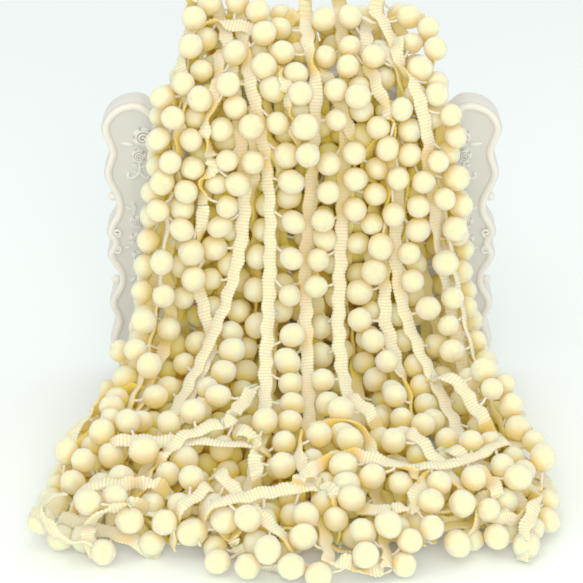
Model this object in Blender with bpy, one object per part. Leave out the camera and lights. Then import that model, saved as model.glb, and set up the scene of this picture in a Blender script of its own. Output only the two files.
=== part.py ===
"""Pompom fringe trim hung in loops over an upright display plaque.

Metres, +Z up.  The origin is the centre of the plaque's flat underside.  The trim falls
over the plaque's crest, down its front (-Y) and out over the surface it stands on.
Each leg of the trim is one solid: a narrow woven tape with a row of balls, each ball on
a short thread that grows out of the tape's edge.
"""
import math

import bmesh
import bpy
import numpy as np
from mathutils import Matrix, Vector
from mathutils.bvhtree import BVHTree
from mathutils.kdtree import KDTree

MM = 0.001

# Trim: driving sizes
POMPOM_RADIUS = 5.0 * MM
POMPOM_PITCH = 13.3 * MM
TAPE_WIDTH = 5.3 * MM
TAPE_THICKNESS = 1.0 * MM
THREAD_LENGTH = 3.0 * MM
THREAD_WIDTH = 1.2 * MM
NODES_PER_PITCH = 2
NODE_SPACING = POMPOM_PITCH / NODES_PER_PITCH
CURVE_STEPS = 24
CLEARANCE = 0.45 * MM

# The rings of one ball: place along its axis, radius, degrees turned from the thread
POMPOM_RINGS = [
    (-0.97 * POMPOM_RADIUS, 0.6 * THREAD_WIDTH, 0.0),
    (-0.5 * POMPOM_RADIUS, 0.866 * POMPOM_RADIUS, 45.0),
    (0.5 * POMPOM_RADIUS, 0.866 * POMPOM_RADIUS, 90.0),
]

# Trim: what stands for the tape and the balls while the legs are spread apart
EDGE_OFFSET = 1.9 * MM
FEELER_RADIUS = 0.85 * MM
TAPE_ON_TAPE = 0.45 * MM
TAPE_FROM_PLAQUE = 3.0 * MM
EVEN = (0.25, 0.25, 0.25, 0.25)
MID_THREAD = (0.25, 0.25, 0.24, 0.26)
THREAD_REACH = TAPE_WIDTH / 2 + THREAD_LENGTH + POMPOM_RADIUS - EDGE_OFFSET
FOLD_REACH = 11.5 * MM
SPREAD_STEPS = 300
FREE_STEPS = 500
NEIGHBOUR_STEPS = 13
NEIGHBOUR_MARGIN = 2.5 * MM
OWN_BALL_NODES = 1.0
OWN_TAPE_NODES = 2.0
HOME_PULL = 0.03
STRAIGHTEN = 0.06
LINK_STIFFNESS = 0.8
CROWD_SHARE = 0.6
DROOP = 0.3
EDGE_ABOVE_FLOOR = 1.3 * MM
FLOOR_REACH = 0.2 * MM

# Trim: how a leg that touches nothing is slid on to its neighbour
SEAT_BELOW = 0.8 * MM
SEATED_GAP = 0.45 * MM
LEAST_GAP = 0.3 * MM
SEAT_REACH = 6.0 * MM
SEAT_TRIES = 4

# Plaque: driving sizes
PLAQUE_THICKNESS = 14.0 * MM
PLAQUE_RIM_WIDTH = 4.0 * MM
PLAQUE_FIELD_DEPTH = 1.6 * MM
PLAQUE_CURVE_STEPS = 3
WELD_WITHIN = 0.01 * MM

# Plaque: right half of the outline, from the crest down to the foot.  Millimetres.
# sharp points are cusps, all others are rounded.
PLAQUE_EDGE = [
    # x,   z,     kind
    (0.0, 134.0, "round"),
    (26.0, 132.0, "round"),
    (43.0, 124.0, "round"),
    (57.0, 115.5, "sharp"),
    (65.5, 120.5, "round"),
    (78.5, 112.0, "round"),
    (76.0, 99.0, "sharp"),
    (78.6, 90.0, "round"),
    (74.0, 76.0, "round"),
    (78.4, 64.0, "round"),
    (75.6, 60.0, "sharp"),
    (78.4, 56.0, "round"),
    (74.0, 44.0, "round"),
    (78.2, 34.0, "round"),
    (75.6, 25.5, "sharp"),
    (78.4, 15.0, "round"),
    (72.5, 4.0, "round"),
    (66.0, 0.0, "sharp"),
]

CREST_X = np.array([x for x, z, kind in PLAQUE_EDGE[:6]]) * MM
CREST_Z = np.array([z for x, z, kind in PLAQUE_EDGE[:6]]) * MM
CREST_BULGE = 0.8 * MM

# Front drape: the paths of the outermost and the innermost tape, seen from the side.  The
# inner one hangs straight down the plaque and lies on the floor.  half is the half width of
# the drape there; a tape further out sideways lies nearer the plaque.  Millimetres.
FRONT_STATIONS = [
    # name, outer y, outer z, inner y, inner z, half
    ("crest", 8.0, 151.0, 8.0, 141.0, 66.0),
    ("shoulder", -22.0, 133.0, -14.0, 126.0, 72.0),
    ("chest", -31.0, 103.0, -19.0, 98.0, 76.0),
    ("waist", -37.0, 72.0, -21.0, 68.0, 82.0),
    ("hip", -46.0, 49.0, -24.0, 40.0, 86.0),
    ("knee", -64.0, 33.0, -38.0, 15.0, 94.0),
    ("shin", -96.0, 22.0, -68.0, 6.0, 108.0),
    ("hem", -134.0, 14.0, -104.0, 6.0, 116.0),
    ("toe", -171.0, 7.0, -140.0, 6.0, 120.0),
]
PLAN_POWER = 2.4
NEAREST_FACE = 6.5

# Front legs in the order that they cross the crest: x of the tape at each station, the share
# of the way that it reaches, its layer from 0 outermost to 1 innermost, which edge carries
# the balls, and how far it turns edge-on at the crest and at the floor.
# Millimetres and degrees.
FRONT_LEGS = [
    # name, crest, shoulder, chest, waist, hip, knee, shin, hem, toe, reach, layer, side, top, low
    ("left_edge", -41, -46, -52, -54, -55, -58, -68, -79, -84, 0.99, 0.1, -1, 60, 40),
    ("left_wall", -37, -41, -43, -45, -47, -54, -63, -76, -84, 0.88, 0.9, -1, 15, 5),
    ("left_long", -32, -26, -20, -22, -26, -38, -53, -60, -66, 0.97, 0.1, 1, 15, 10),
    ("left_fall", -25, -17, -11, -11, -12, -12, -13, -20, -28, 0.98, 0.0, -1, 10, 15),
    ("left_under", -20, -31, -33, -32, -34, -36, -39, -46, -52, 1.00, 0.8, -1, 20, 0),
    ("crest_loop", -10, -9, -7, -6, -9, -15, -25, -32, -36, 1.00, 0.8, -1, 25, 10),
    ("middle_fall", 1, 7, 6, 2, 1, 2, 2, 7, 12, 1.00, 0.1, 1, 5, 10),
    ("middle_under", 8, 10, 12, 11, 8, 6, 6, 2, -4, 0.94, 1.0, 1, 30, 10),
    ("right_fall", 16, 17, 18, 15, 13, 11, 22, 27, 32, 1.00, 0.1, 1, 5, 20),
    ("right_under", 24, 27, 29, 30, 32, 35, 38, 43, 46, 0.97, 0.9, 1, 25, 0),
    ("right_long", 32, 37, 37, 36, 34, 49, 59, 66, 76, 0.97, 0.1, -1, 30, 15),
    ("right_wall", 38, 41, 44, 45, 49, 59, 66, 72, 80, 0.87, 1.0, 1, 20, 0),
    ("right_edge", 43, 48, 53, 57, 61, 65, 74, 82, 85, 0.99, 0.2, 1, 60, 40),
]

# Back bights: each joins two front legs behind the plaque.  Millimetres.
BACK_BIGHTS = [
    # left leg, right leg, z of its foot, distance of its tape from the plaque's back
    ("left_edge", "left_wall", 98.0, 18.0),
    ("left_long", "left_fall", 104.0, 7.0),
    ("left_under", "crest_loop", 94.0, 19.0),
    ("middle_fall", "middle_under", 101.0, 7.0),
    ("right_fall", "right_under", 92.0, 18.0),
    ("right_long", "right_wall", 103.0, 7.0),
]
BIGHT_HALF_WIDTH = 9.0
BIGHT_START_Y = 13.0
BIGHT_DROP = 13.0

# Floor bights: short turns of the trim that lie across the front of the heap.
# Millimetres and degrees.
FLOOR_BIGHTS = [
    # name,   x,   y,    z,  radius, first angle, last angle
    ("turn_left", -83.0, -116.0, 9.0, 14.0, 80.0, 300.0),
    ("turn_middle", -42.0, -122.0, 26.0, 26.0, 30.0, 150.0),
    ("turn_right", 54.0, -126.0, 24.0, 16.0, -170.0, 60.0),
    ("turn_front", 17.0, -118.0, 27.0, 15.0, 200.0, -20.0),
    ("turn_low", -14.0, -146.0, 22.0, 17.0, 175.0, 15.0),
    ("turn_side", 80.0, -96.0, 12.0, 16.0, 100.0, -60.0),
    ("turn_back_left", -68.0, -45.0, 9.0, 14.0, 80.0, 280.0),
    ("turn_toe_left", -72.0, -142.0, 8.0, 12.0, 170.0, 360.0),
    ("turn_toe_right", 70.0, -144.0, 8.0, 13.0, 200.0, 380.0),
]

# Heights between which the tape's face turns: up off the floor, out from the plaque, and
# up again over the crest; and how far to the side it faces squarely sideways
WALL_FROM = 20.0 * MM
WALL_WHOLE = 50.0 * MM
OVER_FROM = 135.0 * MM
OVER_WHOLE = 148.0 * MM
SIDEWAYS_FROM = 90.0 * MM

# Unevenness of the hang
SEED = 10
WANDER = 1.6 * MM
WANDER_LENGTHS = (90.0 * MM, 47.0 * MM)
TURN_WANDER = 22.0
HANG_SPREAD = 0.35

COLLECTION_NAME = "Pompom fringe trim"
CUTTER_COLLECTION_NAME = "Cutters"

CREAM = (0.93, 0.85, 0.62, 1.0)
OFF_WHITE = (0.84, 0.82, 0.78, 1.0)


# ---------------------------------------------------------------- scene and materials
def clear_scene():
    for obj in list(bpy.data.objects):
        bpy.data.objects.remove(obj, do_unlink=True)


def new_collection(name):
    collection = bpy.data.collections.new(name)
    bpy.context.scene.collection.children.link(collection)
    return collection


def new_material(name, colour, roughness):
    material = bpy.data.materials.new(name)
    material.use_nodes = True
    shader = material.node_tree.nodes["Principled BSDF"]
    shader.inputs["Base Color"].default_value = colour
    shader.inputs["Roughness"].default_value = roughness
    shader.inputs["Metallic"].default_value = 0.0
    return material


# ---------------------------------------------------------------- paths of the trim
def smooth_path(points, spacing):
    """Points a fixed distance apart along a smooth curve through the given points."""
    points = np.asarray(points, dtype=float)
    ghosts = np.vstack([2 * points[0] - points[1], points, 2 * points[-1] - points[-2]])
    dense = []
    for i in range(1, len(ghosts) - 2):
        a, b, c, d = ghosts[i - 1:i + 3]
        for t in np.linspace(0.0, 1.0, CURVE_STEPS, endpoint=False):
            dense.append(0.5 * (2 * b + (c - a) * t + (2 * a - 5 * b + 4 * c - d) * t ** 2
                                + (3 * b - a - 3 * c + d) * t ** 3))
    dense.append(points[-1])
    dense = np.array(dense)
    steps = np.linalg.norm(np.diff(dense, axis=0), axis=1)
    along = np.concatenate([[0.0], np.cumsum(steps)])
    places = np.arange(0.0, along[-1], spacing)
    return np.column_stack([np.interp(places, along, dense[:, k]) for k in range(3)])


def whole_pitches(path):
    """The path cut back so that it starts and ends half a pitch past its last ball."""
    return path[:(len(path) - 1) // NODES_PER_PITCH * NODES_PER_PITCH + 1]


def front_path(row):
    """One front leg, from the crest to the floor, in its own layer of the drape."""
    xs, reach, layer = row[1:10], row[10], row[11]
    face = -PLAQUE_THICKNESS / MM / 2 - NEAREST_FACE
    stations = []
    for x, (name, outer_y, outer_z, inner_y, inner_z, half) in zip(xs, FRONT_STATIONS):
        y = outer_y + (inner_y - outer_y) * layer
        z = outer_z + (inner_z - outer_z) * layer
        plan = max(0.0, 1.0 - abs(x / half) ** PLAN_POWER) ** (1.0 / PLAN_POWER)
        if y < face:
            y = face + (y - face) * plan
        stations.append((x * MM, y * MM, z * MM))
    path = smooth_path(stations, NODE_SPACING)
    return whole_pitches(path[:int(len(path) * reach)])


def back_path(left, right, foot, standoff):
    """A bight behind the plaque, between the tops of two front legs."""
    rows = {row[0]: row for row in FRONT_LEGS}
    outer_z, inner_z = FRONT_STATIONS[0][2], FRONT_STATIONS[0][4]
    x_left, x_right = rows[left][1], rows[right][1]
    top_left = outer_z + (inner_z - outer_z) * rows[left][11]
    top_right = outer_z + (inner_z - outer_z) * rows[right][11]
    middle = (x_left + x_right) / 2
    out_left, out_right = middle - BIGHT_HALF_WIDTH, middle + BIGHT_HALF_WIDTH
    back = PLAQUE_THICKNESS / MM / 2 + standoff
    points = [
        (x_left, BIGHT_START_Y, top_left),
        (x_left, back, top_left - BIGHT_DROP),
        (out_left, back, foot + BIGHT_HALF_WIDTH),
        (middle, back, foot),
        (out_right, back, foot + BIGHT_HALF_WIDTH),
        (x_right, back, top_right - BIGHT_DROP),
        (x_right, BIGHT_START_Y, top_right),
    ]
    path = smooth_path([[c * MM for c in point] for point in points], NODE_SPACING)
    return whole_pitches(path)


def floor_path(x, y, z, radius, first, last):
    angles = np.radians(np.linspace(first, last, 7))
    points = [((x + radius * math.cos(a)) * MM, (y + radius * math.sin(a)) * MM, z * MM)
              for a in angles]
    return whole_pitches(smooth_path(points, NODE_SPACING))


def wander(rng, count, size):
    """A smooth uneven drift along a leg, from two waves with chance starts."""
    along = np.arange(count) * NODE_SPACING
    waves = [np.sin(2 * math.pi * (along / length + rng.random())) for length in WANDER_LENGTHS]
    return size * (waves[0] + 0.5 * waves[1])


def outward_directions(path):
    """Away from the plaque on the wall of the drape, upward over the crest and the floor."""
    wall = np.clip((path[:, 2] - WALL_FROM) / (WALL_WHOLE - WALL_FROM), 0.0, 1.0)
    over = np.clip((path[:, 2] - OVER_FROM) / (OVER_WHOLE - OVER_FROM), 0.0, 1.0)
    sideways = path[:, 0] / SIDEWAYS_FROM
    return np.column_stack([sideways, -wall * (1.0 - over) - 0.1, 1.0 - wall + over + 0.15])


def make_strand(rng, name, path, side, turns, outward):
    """One leg before it is spread: both tape edges at each node, and a ball every pitch."""
    tangents = np.gradient(path, axis=0)
    tangents /= np.linalg.norm(tangents, axis=1)[:, None]
    across = np.cross(tangents, outward)
    across /= np.linalg.norm(across, axis=1)[:, None]
    facing = np.cross(across, tangents)
    path = path + across * wander(rng, len(path), WANDER)[:, None]
    angle = np.radians(np.linspace(turns[0], turns[1], len(path)))
    angle += np.radians(wander(rng, len(path), TURN_WANDER))
    width = (across * np.cos(angle)[:, None] * side + facing * np.sin(angle)[:, None])
    ball_nodes = np.arange(1, len(path), NODES_PER_PITCH)
    hang = width[ball_nodes] + rng.uniform(-HANG_SPREAD, HANG_SPREAD, (len(ball_nodes), 3))
    hang[:, 2] -= DROOP
    hang /= np.linalg.norm(hang, axis=1)[:, None]
    thread_edge = path + width * EDGE_OFFSET
    return {
        "name": name,
        "plain_edge": path - width * EDGE_OFFSET,
        "thread_edge": thread_edge,
        "ball_nodes": ball_nodes,
        "balls": thread_edge[ball_nodes] + hang * THREAD_REACH,
    }


def make_strands():
    rng = np.random.default_rng(SEED)
    strands = []
    for row in FRONT_LEGS:
        path = front_path(row)
        side, turns = row[12], row[13:15]
        strands.append(make_strand(rng, row[0], path, side, turns, outward_directions(path)))
    for left, right, foot, standoff in BACK_BIGHTS:
        path = back_path(left, right, foot, standoff)
        outward = np.tile([0.0, 1.0, 0.3], (len(path), 1))
        strands.append(make_strand(rng, "back_" + left, path, 1, (0.0, 0.0), outward))
    for name, *bight in FLOOR_BIGHTS:
        path = floor_path(*bight)
        outward = np.tile([0.0, -0.3, 1.0], (len(path), 1))
        strands.append(make_strand(rng, name, path, 1, (0.0, 0.0), outward))
    return strands


# ---------------------------------------------------------------- spreading the legs apart
class Spreader:
    """Moves tape edges and balls apart until none overlap, with every length kept.

    A leg's points are its two tape edges and its balls.  Its feelers are the places where
    it is kept clear of the others: the balls themselves, and a fine net of places on the
    tape and threads, each a weighted mean of up to four points.
    """

    def __init__(self, strands):
        self.strands = strands
        self.rows, self.links, self.folds, self.bends = [], [], [], []
        self.feeler_points, self.feeler_weights = [], []
        owner, station, is_ball = [], [], []
        places, start = [], 0
        for number, strand in enumerate(strands):
            nodes = len(strand["plain_edge"])
            plain = np.arange(start, start + nodes)
            thread = plain + nodes
            balls = np.arange(start + 2 * nodes, start + 2 * nodes + len(strand["balls"]))
            start = balls[-1] + 1
            places += [strand["plain_edge"], strand["thread_edge"], strand["balls"]]
            self.rows.append((plain, thread, balls))
            self.links.append((plain, thread, 2 * EDGE_OFFSET))
            for edge in (plain, thread):
                self.bends.append(edge)
                for first in (0, 1):
                    self.links.append((edge[first:-1:2], edge[first + 1::2], NODE_SPACING))
            held = thread[strand["ball_nodes"]]
            self.links.append((held, balls, THREAD_REACH))
            self.folds.append((plain[strand["ball_nodes"]], balls))
            feelers = [(i, [p, p, p, p], EVEN) for i, p in enumerate(plain)]
            feelers += [(i, [t, t, t, t], EVEN) for i, t in enumerate(thread)]
            feelers += [(i, [p, p, t, t], EVEN) for i, (p, t) in enumerate(zip(plain, thread))]
            for i in range(nodes - 1):
                p, q, t, u = plain[i], plain[i + 1], thread[i], thread[i + 1]
                feelers += [(i + 0.5, [p, p, q, q], EVEN), (i + 0.5, [t, t, u, u], EVEN),
                            (i + 0.5, [p, q, t, u], EVEN)]
            for i, t, c in zip(strand["ball_nodes"], held, balls):
                feelers.append((i, [t, t, t, c], MID_THREAD))
            for place, points, weights in feelers:
                self.feeler_points.append(points)
                self.feeler_weights.append(weights)
                station.append(place)
                is_ball.append(False)
                owner.append(number)
            for i, c in zip(strand["ball_nodes"], balls):
                self.feeler_points.append([c, c, c, c])
                self.feeler_weights.append(EVEN)
                station.append(i)
                is_ball.append(True)
                owner.append(number)
        self.x = np.vstack(places)
        self.home = self.x.copy()
        self.ball_points = np.concatenate([balls for plain, thread, balls in self.rows])
        self.feeler_points = np.array(self.feeler_points)
        self.feeler_weights = np.array(self.feeler_weights)
        same_point = self.feeler_points[:, :, None] == self.feeler_points[:, None, :]
        products = self.feeler_weights[:, :, None] * self.feeler_weights[:, None, :]
        self.share = self.feeler_weights / (same_point * products).sum(axis=(1, 2))[:, None]
        self.owner = np.array(owner)
        self.station = np.array(station)
        self.is_ball = np.array(is_ball)
        self.radii = np.where(self.is_ball, POMPOM_RADIUS, FEELER_RADIUS)

    def feelers(self):
        return (self.x[self.feeler_points] * self.feeler_weights[:, :, None]).sum(axis=1)

    def find_pairs(self, margin):
        """Every two feelers that are near enough to meet soon."""
        places = self.feelers()
        tree = KDTree(len(places))
        for i, point in enumerate(places):
            tree.insert(point, i)
        tree.balance()
        found = []
        for i in np.flatnonzero(self.is_ball):
            for _, j, distance in tree.find_range(places[i], 2 * POMPOM_RADIUS + margin):
                if not self.is_ball[j] or j > i:
                    found.append((i, j))
        reach = 2 * FEELER_RADIUS + TAPE_ON_TAPE + CLEARANCE + margin
        for i in np.flatnonzero(~self.is_ball):
            for _, j, distance in tree.find_range(places[i], reach):
                if j > i and not self.is_ball[j]:
                    found.append((i, j))
        pairs = np.array(found, dtype=int)
        same = self.owner[pairs[:, 0]] == self.owner[pairs[:, 1]]
        apart = abs(self.station[pairs[:, 0]] - self.station[pairs[:, 1]])
        a_ball, b_ball = self.is_ball[pairs[:, 0]], self.is_ball[pairs[:, 1]]
        own = np.where(a_ball | b_ball, OWN_BALL_NODES, OWN_TAPE_NODES)
        self.pairs = pairs[~(same & ~(a_ball & b_ball) & (apart < own))]
        a, b = self.pairs[:, 0], self.pairs[:, 1]
        both_tape = ~self.is_ball[a] & ~self.is_ball[b]
        self.need = self.radii[a] + self.radii[b] + CLEARANCE + TAPE_ON_TAPE * both_tape

    def hold(self, a, b, length, stiffness):
        gap = self.x[b] - self.x[a]
        distance = np.linalg.norm(gap, axis=1)[:, None]
        move = gap * ((distance - length) / distance * 0.5 * stiffness)
        self.x[a] += move
        self.x[b] -= move

    def hold_open(self, a, b, length):
        gap = self.x[b] - self.x[a]
        distance = np.linalg.norm(gap, axis=1)[:, None]
        move = gap * (np.minimum(distance - length, 0.0) / distance * 0.5)
        self.x[a] += move
        self.x[b] -= move

    def part_pairs(self):
        places = self.feelers()
        a, b = self.pairs[:, 0], self.pairs[:, 1]
        gap = places[b] - places[a]
        distance = np.linalg.norm(gap, axis=1)
        short = self.need - distance
        hit = short > 0
        if not hit.any():
            return 0.0
        a, b = a[hit], b[hit]
        push = gap[hit] * (short[hit] / distance[hit] * 0.5)[:, None]
        total = np.zeros_like(self.x)
        count = np.zeros(len(self.x))
        for ends, sign in ((a, -1.0), (b, 1.0)):
            for k in range(4):
                points = self.feeler_points[ends, k]
                weights = self.feeler_weights[ends, k]
                np.add.at(total, points, sign * push * self.share[ends, k][:, None])
                np.add.at(count, points, weights)
        self.x += total / np.maximum(1.0, count * CROWD_SHARE)[:, None]
        return short[hit].max()

    def clear_plaque(self):
        x, y, z = self.x.T
        is_ball = np.zeros(len(self.x), dtype=bool)
        is_ball[self.ball_points] = True
        crest = np.interp(abs(x), CREST_X, CREST_Z) + CREST_BULGE
        reach = CLEARANCE + np.where(is_ball, POMPOM_RADIUS, TAPE_FROM_PLAQUE)
        side = np.where(y > 0, 1.0, -1.0)
        beyond = abs(y) - PLAQUE_THICKNESS / 2
        above = z - crest
        inside = (beyond < 0) & (above < 0)
        use_top = inside & (above > beyond)
        use_face = inside & ~use_top
        out_y, out_z = np.maximum(beyond, 0.0), np.maximum(above, 0.0)
        distance = np.maximum(np.hypot(out_y, out_z), 1e-9)
        short = np.where(inside, 0.0, np.maximum(reach - distance, 0.0))
        self.x[:, 1] += side * out_y / distance * short
        self.x[:, 2] += out_z / distance * short
        self.x[use_top, 2] = (crest + reach)[use_top]
        self.x[use_face, 1] = (side * (PLAQUE_THICKNESS / 2 + reach))[use_face]

    def clear_floor(self):
        lowest = np.full(len(self.x), EDGE_ABOVE_FLOOR)
        lowest[self.ball_points] = POMPOM_RADIUS
        self.x[:, 2] = np.maximum(self.x[:, 2], lowest)

    def step(self, pull):
        self.x += (self.home - self.x) * pull
        for edge in self.bends:
            middle = (self.x[edge[:-2]] + self.x[edge[2:]]) / 2
            self.x[edge[1:-1]] += (middle - self.x[edge[1:-1]]) * STRAIGHTEN
        for a, b, length in self.links:
            self.hold(a, b, length, LINK_STIFFNESS)
        for a, b in self.folds:
            self.hold_open(a, b, FOLD_REACH)
        worst = self.part_pairs()
        self.clear_plaque()
        self.clear_floor()
        return worst

    def run(self):
        for number in range(SPREAD_STEPS + FREE_STEPS):
            if number % NEIGHBOUR_STEPS == 0:
                self.find_pairs(NEIGHBOUR_MARGIN)
            worst = self.step(HOME_PULL if number < SPREAD_STEPS else 0.0)
        print("spread the legs apart, worst overlap mm", round(worst / MM, 3))
        for strand, (plain, thread, balls) in zip(self.strands, self.rows):
            strand["plain_edge"] = self.x[plain]
            strand["thread_edge"] = self.x[thread]
            strand["balls"] = self.x[balls]


# ---------------------------------------------------------------- solids
def extrude_quad(bm, face, corners):
    """Grow a solid from one of its four-sided faces to the given four corners."""
    grown = bmesh.ops.extrude_discrete_faces(bm, faces=[face])["faces"][0]
    for vert, corner in zip(grown.verts, corners):
        vert.co = corner
    return grown


def tape_ring(centre, width, normal):
    half_width = width * (TAPE_WIDTH / 2)
    half_thick = normal * (TAPE_THICKNESS / 2)
    return [centre - half_width - half_thick, centre + half_width - half_thick,
            centre + half_width + half_thick, centre - half_width + half_thick]


def grow_pompom(bm, face, centre):
    """A thread and a ball of square rings, each ring turned an eighth, out of one face.

    A ball on the floor is set down until its lowest corner meets it.
    """
    root = face.calc_center_median()
    axis = (centre - root).normalized()
    first = (face.verts[0].co - root)
    first = (first - axis * first.dot(axis)).normalized()
    second = axis.cross(first)
    turns = []
    for vert in face.verts:
        arm = vert.co - root
        turns.append(math.atan2(arm.dot(second), arm.dot(first)))
    grown = []
    for along, radius, turned in POMPOM_RINGS:
        corners = []
        for turn in turns:
            angle = turn + math.radians(turned)
            arm = first * math.cos(angle) + second * math.sin(angle)
            corners.append(centre + axis * along + arm * radius)
        face = extrude_quad(bm, face, corners)
        grown += face.verts
    tip = bmesh.ops.poke(bm, faces=[face])["verts"][0]
    tip.co = centre + axis * POMPOM_RADIUS
    grown.append(tip)
    if centre.z < POMPOM_RADIUS + FLOOR_REACH:
        lift = -min(vert.co.z for vert in grown)
        for vert in grown:
            vert.co.z += lift


def strand_mesh(strand):
    """The tape drawn out ring by ring, then a ball grown from its edge at every pitch."""
    centres = (strand["plain_edge"] + strand["thread_edge"]) / 2
    widths = strand["thread_edge"] - strand["plain_edge"]
    widths /= np.linalg.norm(widths, axis=1)[:, None]
    tangents = np.gradient(centres, axis=0)
    normals = np.cross(tangents, widths)
    normals /= np.linalg.norm(normals, axis=1)[:, None]
    ball_nodes = set(int(node) for node in strand["ball_nodes"])
    nodes = np.arange(len(centres))
    half = THREAD_WIDTH / 2 / NODE_SPACING
    places = []
    for node in nodes:
        with_ball = int(node) in ball_nodes
        places += [(node - half, False), (node + half, True)] if with_ball else [(node, False)]
    bm = bmesh.new()
    bmesh.ops.create_grid(bm, x_segments=1, y_segments=1, size=0.5)
    bm.faces.ensure_lookup_table()
    face = bm.faces[0]
    sides = []
    for number, (place, closes_root) in enumerate(places):
        centre, width, normal = [Vector([np.interp(place, nodes, data[:, k]) for k in range(3)])
                                 for data in (centres, widths, normals)]
        corners = tape_ring(centre, width.normalized(), normal.normalized())
        if number == 0:
            for vert, corner in zip(face.verts, corners):
                vert.co = corner
            continue
        before = list(face.verts)
        face = extrude_quad(bm, face, corners)
        after = list(face.verts)
        if closes_root:
            sides.append([before[1], before[2], after[2], after[1]])
    for side, ball in zip(sides, strand["balls"]):
        grow_pompom(bm, bm.faces.get(side), Vector(ball))
    bmesh.ops.holes_fill(bm, edges=bm.edges[:], sides=4)
    bmesh.ops.triangulate(bm, faces=bm.faces[:], quad_method="SHORT_EDGE")
    bmesh.ops.recalc_face_normals(bm, faces=bm.faces[:])
    mesh = bpy.data.meshes.new(strand["name"])
    bm.to_mesh(mesh)
    bm.free()
    return mesh


def plaque_curve(name, inset, thickness):
    """The plaque's outline as a flat 2D curve, drawn in by inset, standing upright."""
    right = [(x * MM, z * MM, kind) for x, z, kind in PLAQUE_EDGE]
    left = [(-x, z, kind) for x, z, kind in reversed(right) if x > 0]
    half_width = max(x for x, z, kind in right)
    middle = max(z for x, z, kind in right) / 2
    curve = bpy.data.curves.new(name, "CURVE")
    curve.dimensions = "2D"
    curve.fill_mode = "BOTH"
    curve.extrude = thickness / 2
    spline = curve.splines.new("BEZIER")
    spline.use_cyclic_u = True
    spline.resolution_u = PLAQUE_CURVE_STEPS
    points = right + left
    spline.bezier_points.add(len(points) - 1)
    for point, (x, z, kind) in zip(spline.bezier_points, points):
        x_in = x * (1.0 - inset / half_width)
        z_in = middle + (z - middle) * (1.0 - inset / middle)
        point.co = (x_in, z_in, 0.0)
        handle = "VECTOR" if kind == "sharp" else "AUTO"
        point.handle_left_type = handle
        point.handle_right_type = handle
    obj = bpy.data.objects.new(name, curve)
    bpy.context.scene.collection.objects.link(obj)
    obj.rotation_euler.x = math.radians(90.0)
    return obj


def mesh_from_curve(obj, name):
    """The curve object as a welded mesh object in the same place."""
    bpy.context.view_layer.update()
    evaluated = obj.evaluated_get(bpy.context.evaluated_depsgraph_get())
    mesh = bpy.data.meshes.new_from_object(evaluated)
    bm = bmesh.new()
    bm.from_mesh(mesh)
    bmesh.ops.remove_doubles(bm, verts=bm.verts, dist=WELD_WITHIN)
    bm.to_mesh(mesh)
    bm.free()
    made = bpy.data.objects.new(name, mesh)
    made.matrix_world = obj.matrix_world.copy()
    bpy.data.objects.remove(obj, do_unlink=True)
    return made


class Solid:
    """The corners and faces of one piece, ready to be measured against others."""

    def __init__(self, corners, triangles):
        self.corners = corners
        self.triangles = triangles
        self.tree = BVHTree.FromPolygons(corners, triangles)

    @classmethod
    def of(cls, mesh, matrix):
        mesh.calc_loop_triangles()
        triangles = [tuple(triangle.vertices) for triangle in mesh.loop_triangles]
        return cls([matrix @ vert.co for vert in mesh.vertices], triangles)

    def moved(self, shift):
        return Solid([corner + shift for corner in self.corners], self.triangles)

    def lowest(self):
        return min(corner.z for corner in self.corners)

    def way_to(self, other, limit):
        """The shortest gap to the other piece, if under limit, and the way across it."""
        best, way = limit, Vector((0.0, 0.0, 0.0))
        for one, two, sign in ((self, other, 1.0), (other, self, -1.0)):
            for corner in one.corners:
                place, _, _, distance = two.tree.find_nearest(corner, best)
                if place is not None and distance < best:
                    best, way = distance, (place - corner) * sign
        return best, way


def seat_strands(strands, plaque):
    """Slide each leg that touches nothing across to the nearest piece that is held."""
    solids = []
    for strand in strands:
        mesh = strand_mesh(strand)
        solids.append(Solid.of(mesh, Matrix.Identity(4)))
        bpy.data.meshes.remove(mesh)
    held = [plaque]
    waiting = list(range(len(strands)))
    while waiting:
        ways = {number: sorted((solids[number].way_to(solid, SEAT_REACH) for solid in held),
                               key=lambda found: found[0]) for number in waiting}
        number = min(waiting, key=lambda one: ways[one][0][0])
        waiting.remove(number)
        others = [solid for k, solid in enumerate(solids) if k != number] + [plaque]
        for gap, way in ways[number][:SEAT_TRIES]:
            if gap < SEAT_BELOW or gap >= SEAT_REACH:
                break
            shift = way * (1.0 - SEATED_GAP / gap)
            if solids[number].lowest() < SEATED_GAP:
                shift.z = 0.0
            moved = solids[number].moved(shift)
            clear = all(moved.way_to(other, LEAST_GAP)[0] >= LEAST_GAP for other in others)
            if clear and moved.lowest() > -FLOOR_REACH / 10:
                for key in ("plain_edge", "thread_edge", "balls"):
                    strands[number][key] = strands[number][key] + np.array(shift)
                solids[number] = moved
                break
        print("seated", strands[number]["name"], "gap mm", round(ways[number][0][0] / MM, 2))
        held.append(solids[number])


def make_plaque(collection, cutters, material):
    plaque = mesh_from_curve(plaque_curve("outline", 0.0, PLAQUE_THICKNESS), "plaque")
    plaque.data.materials.append(material)
    collection.objects.link(plaque)
    field = mesh_from_curve(
        plaque_curve("field_outline", PLAQUE_RIM_WIDTH, 2 * PLAQUE_FIELD_DEPTH), "field_cutter")
    field.location.y = -PLAQUE_THICKNESS / 2
    field.hide_render = True
    field.display_type = "WIRE"
    cutters.objects.link(field)
    cut = plaque.modifiers.new("Sunken field", "BOOLEAN")
    cut.object = field
    cut.operation = "DIFFERENCE"
    cut.solver = "EXACT"
    bpy.context.view_layer.update()
    evaluated = plaque.evaluated_get(bpy.context.evaluated_depsgraph_get())
    return Solid.of(evaluated.to_mesh(), evaluated.matrix_world)


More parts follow.
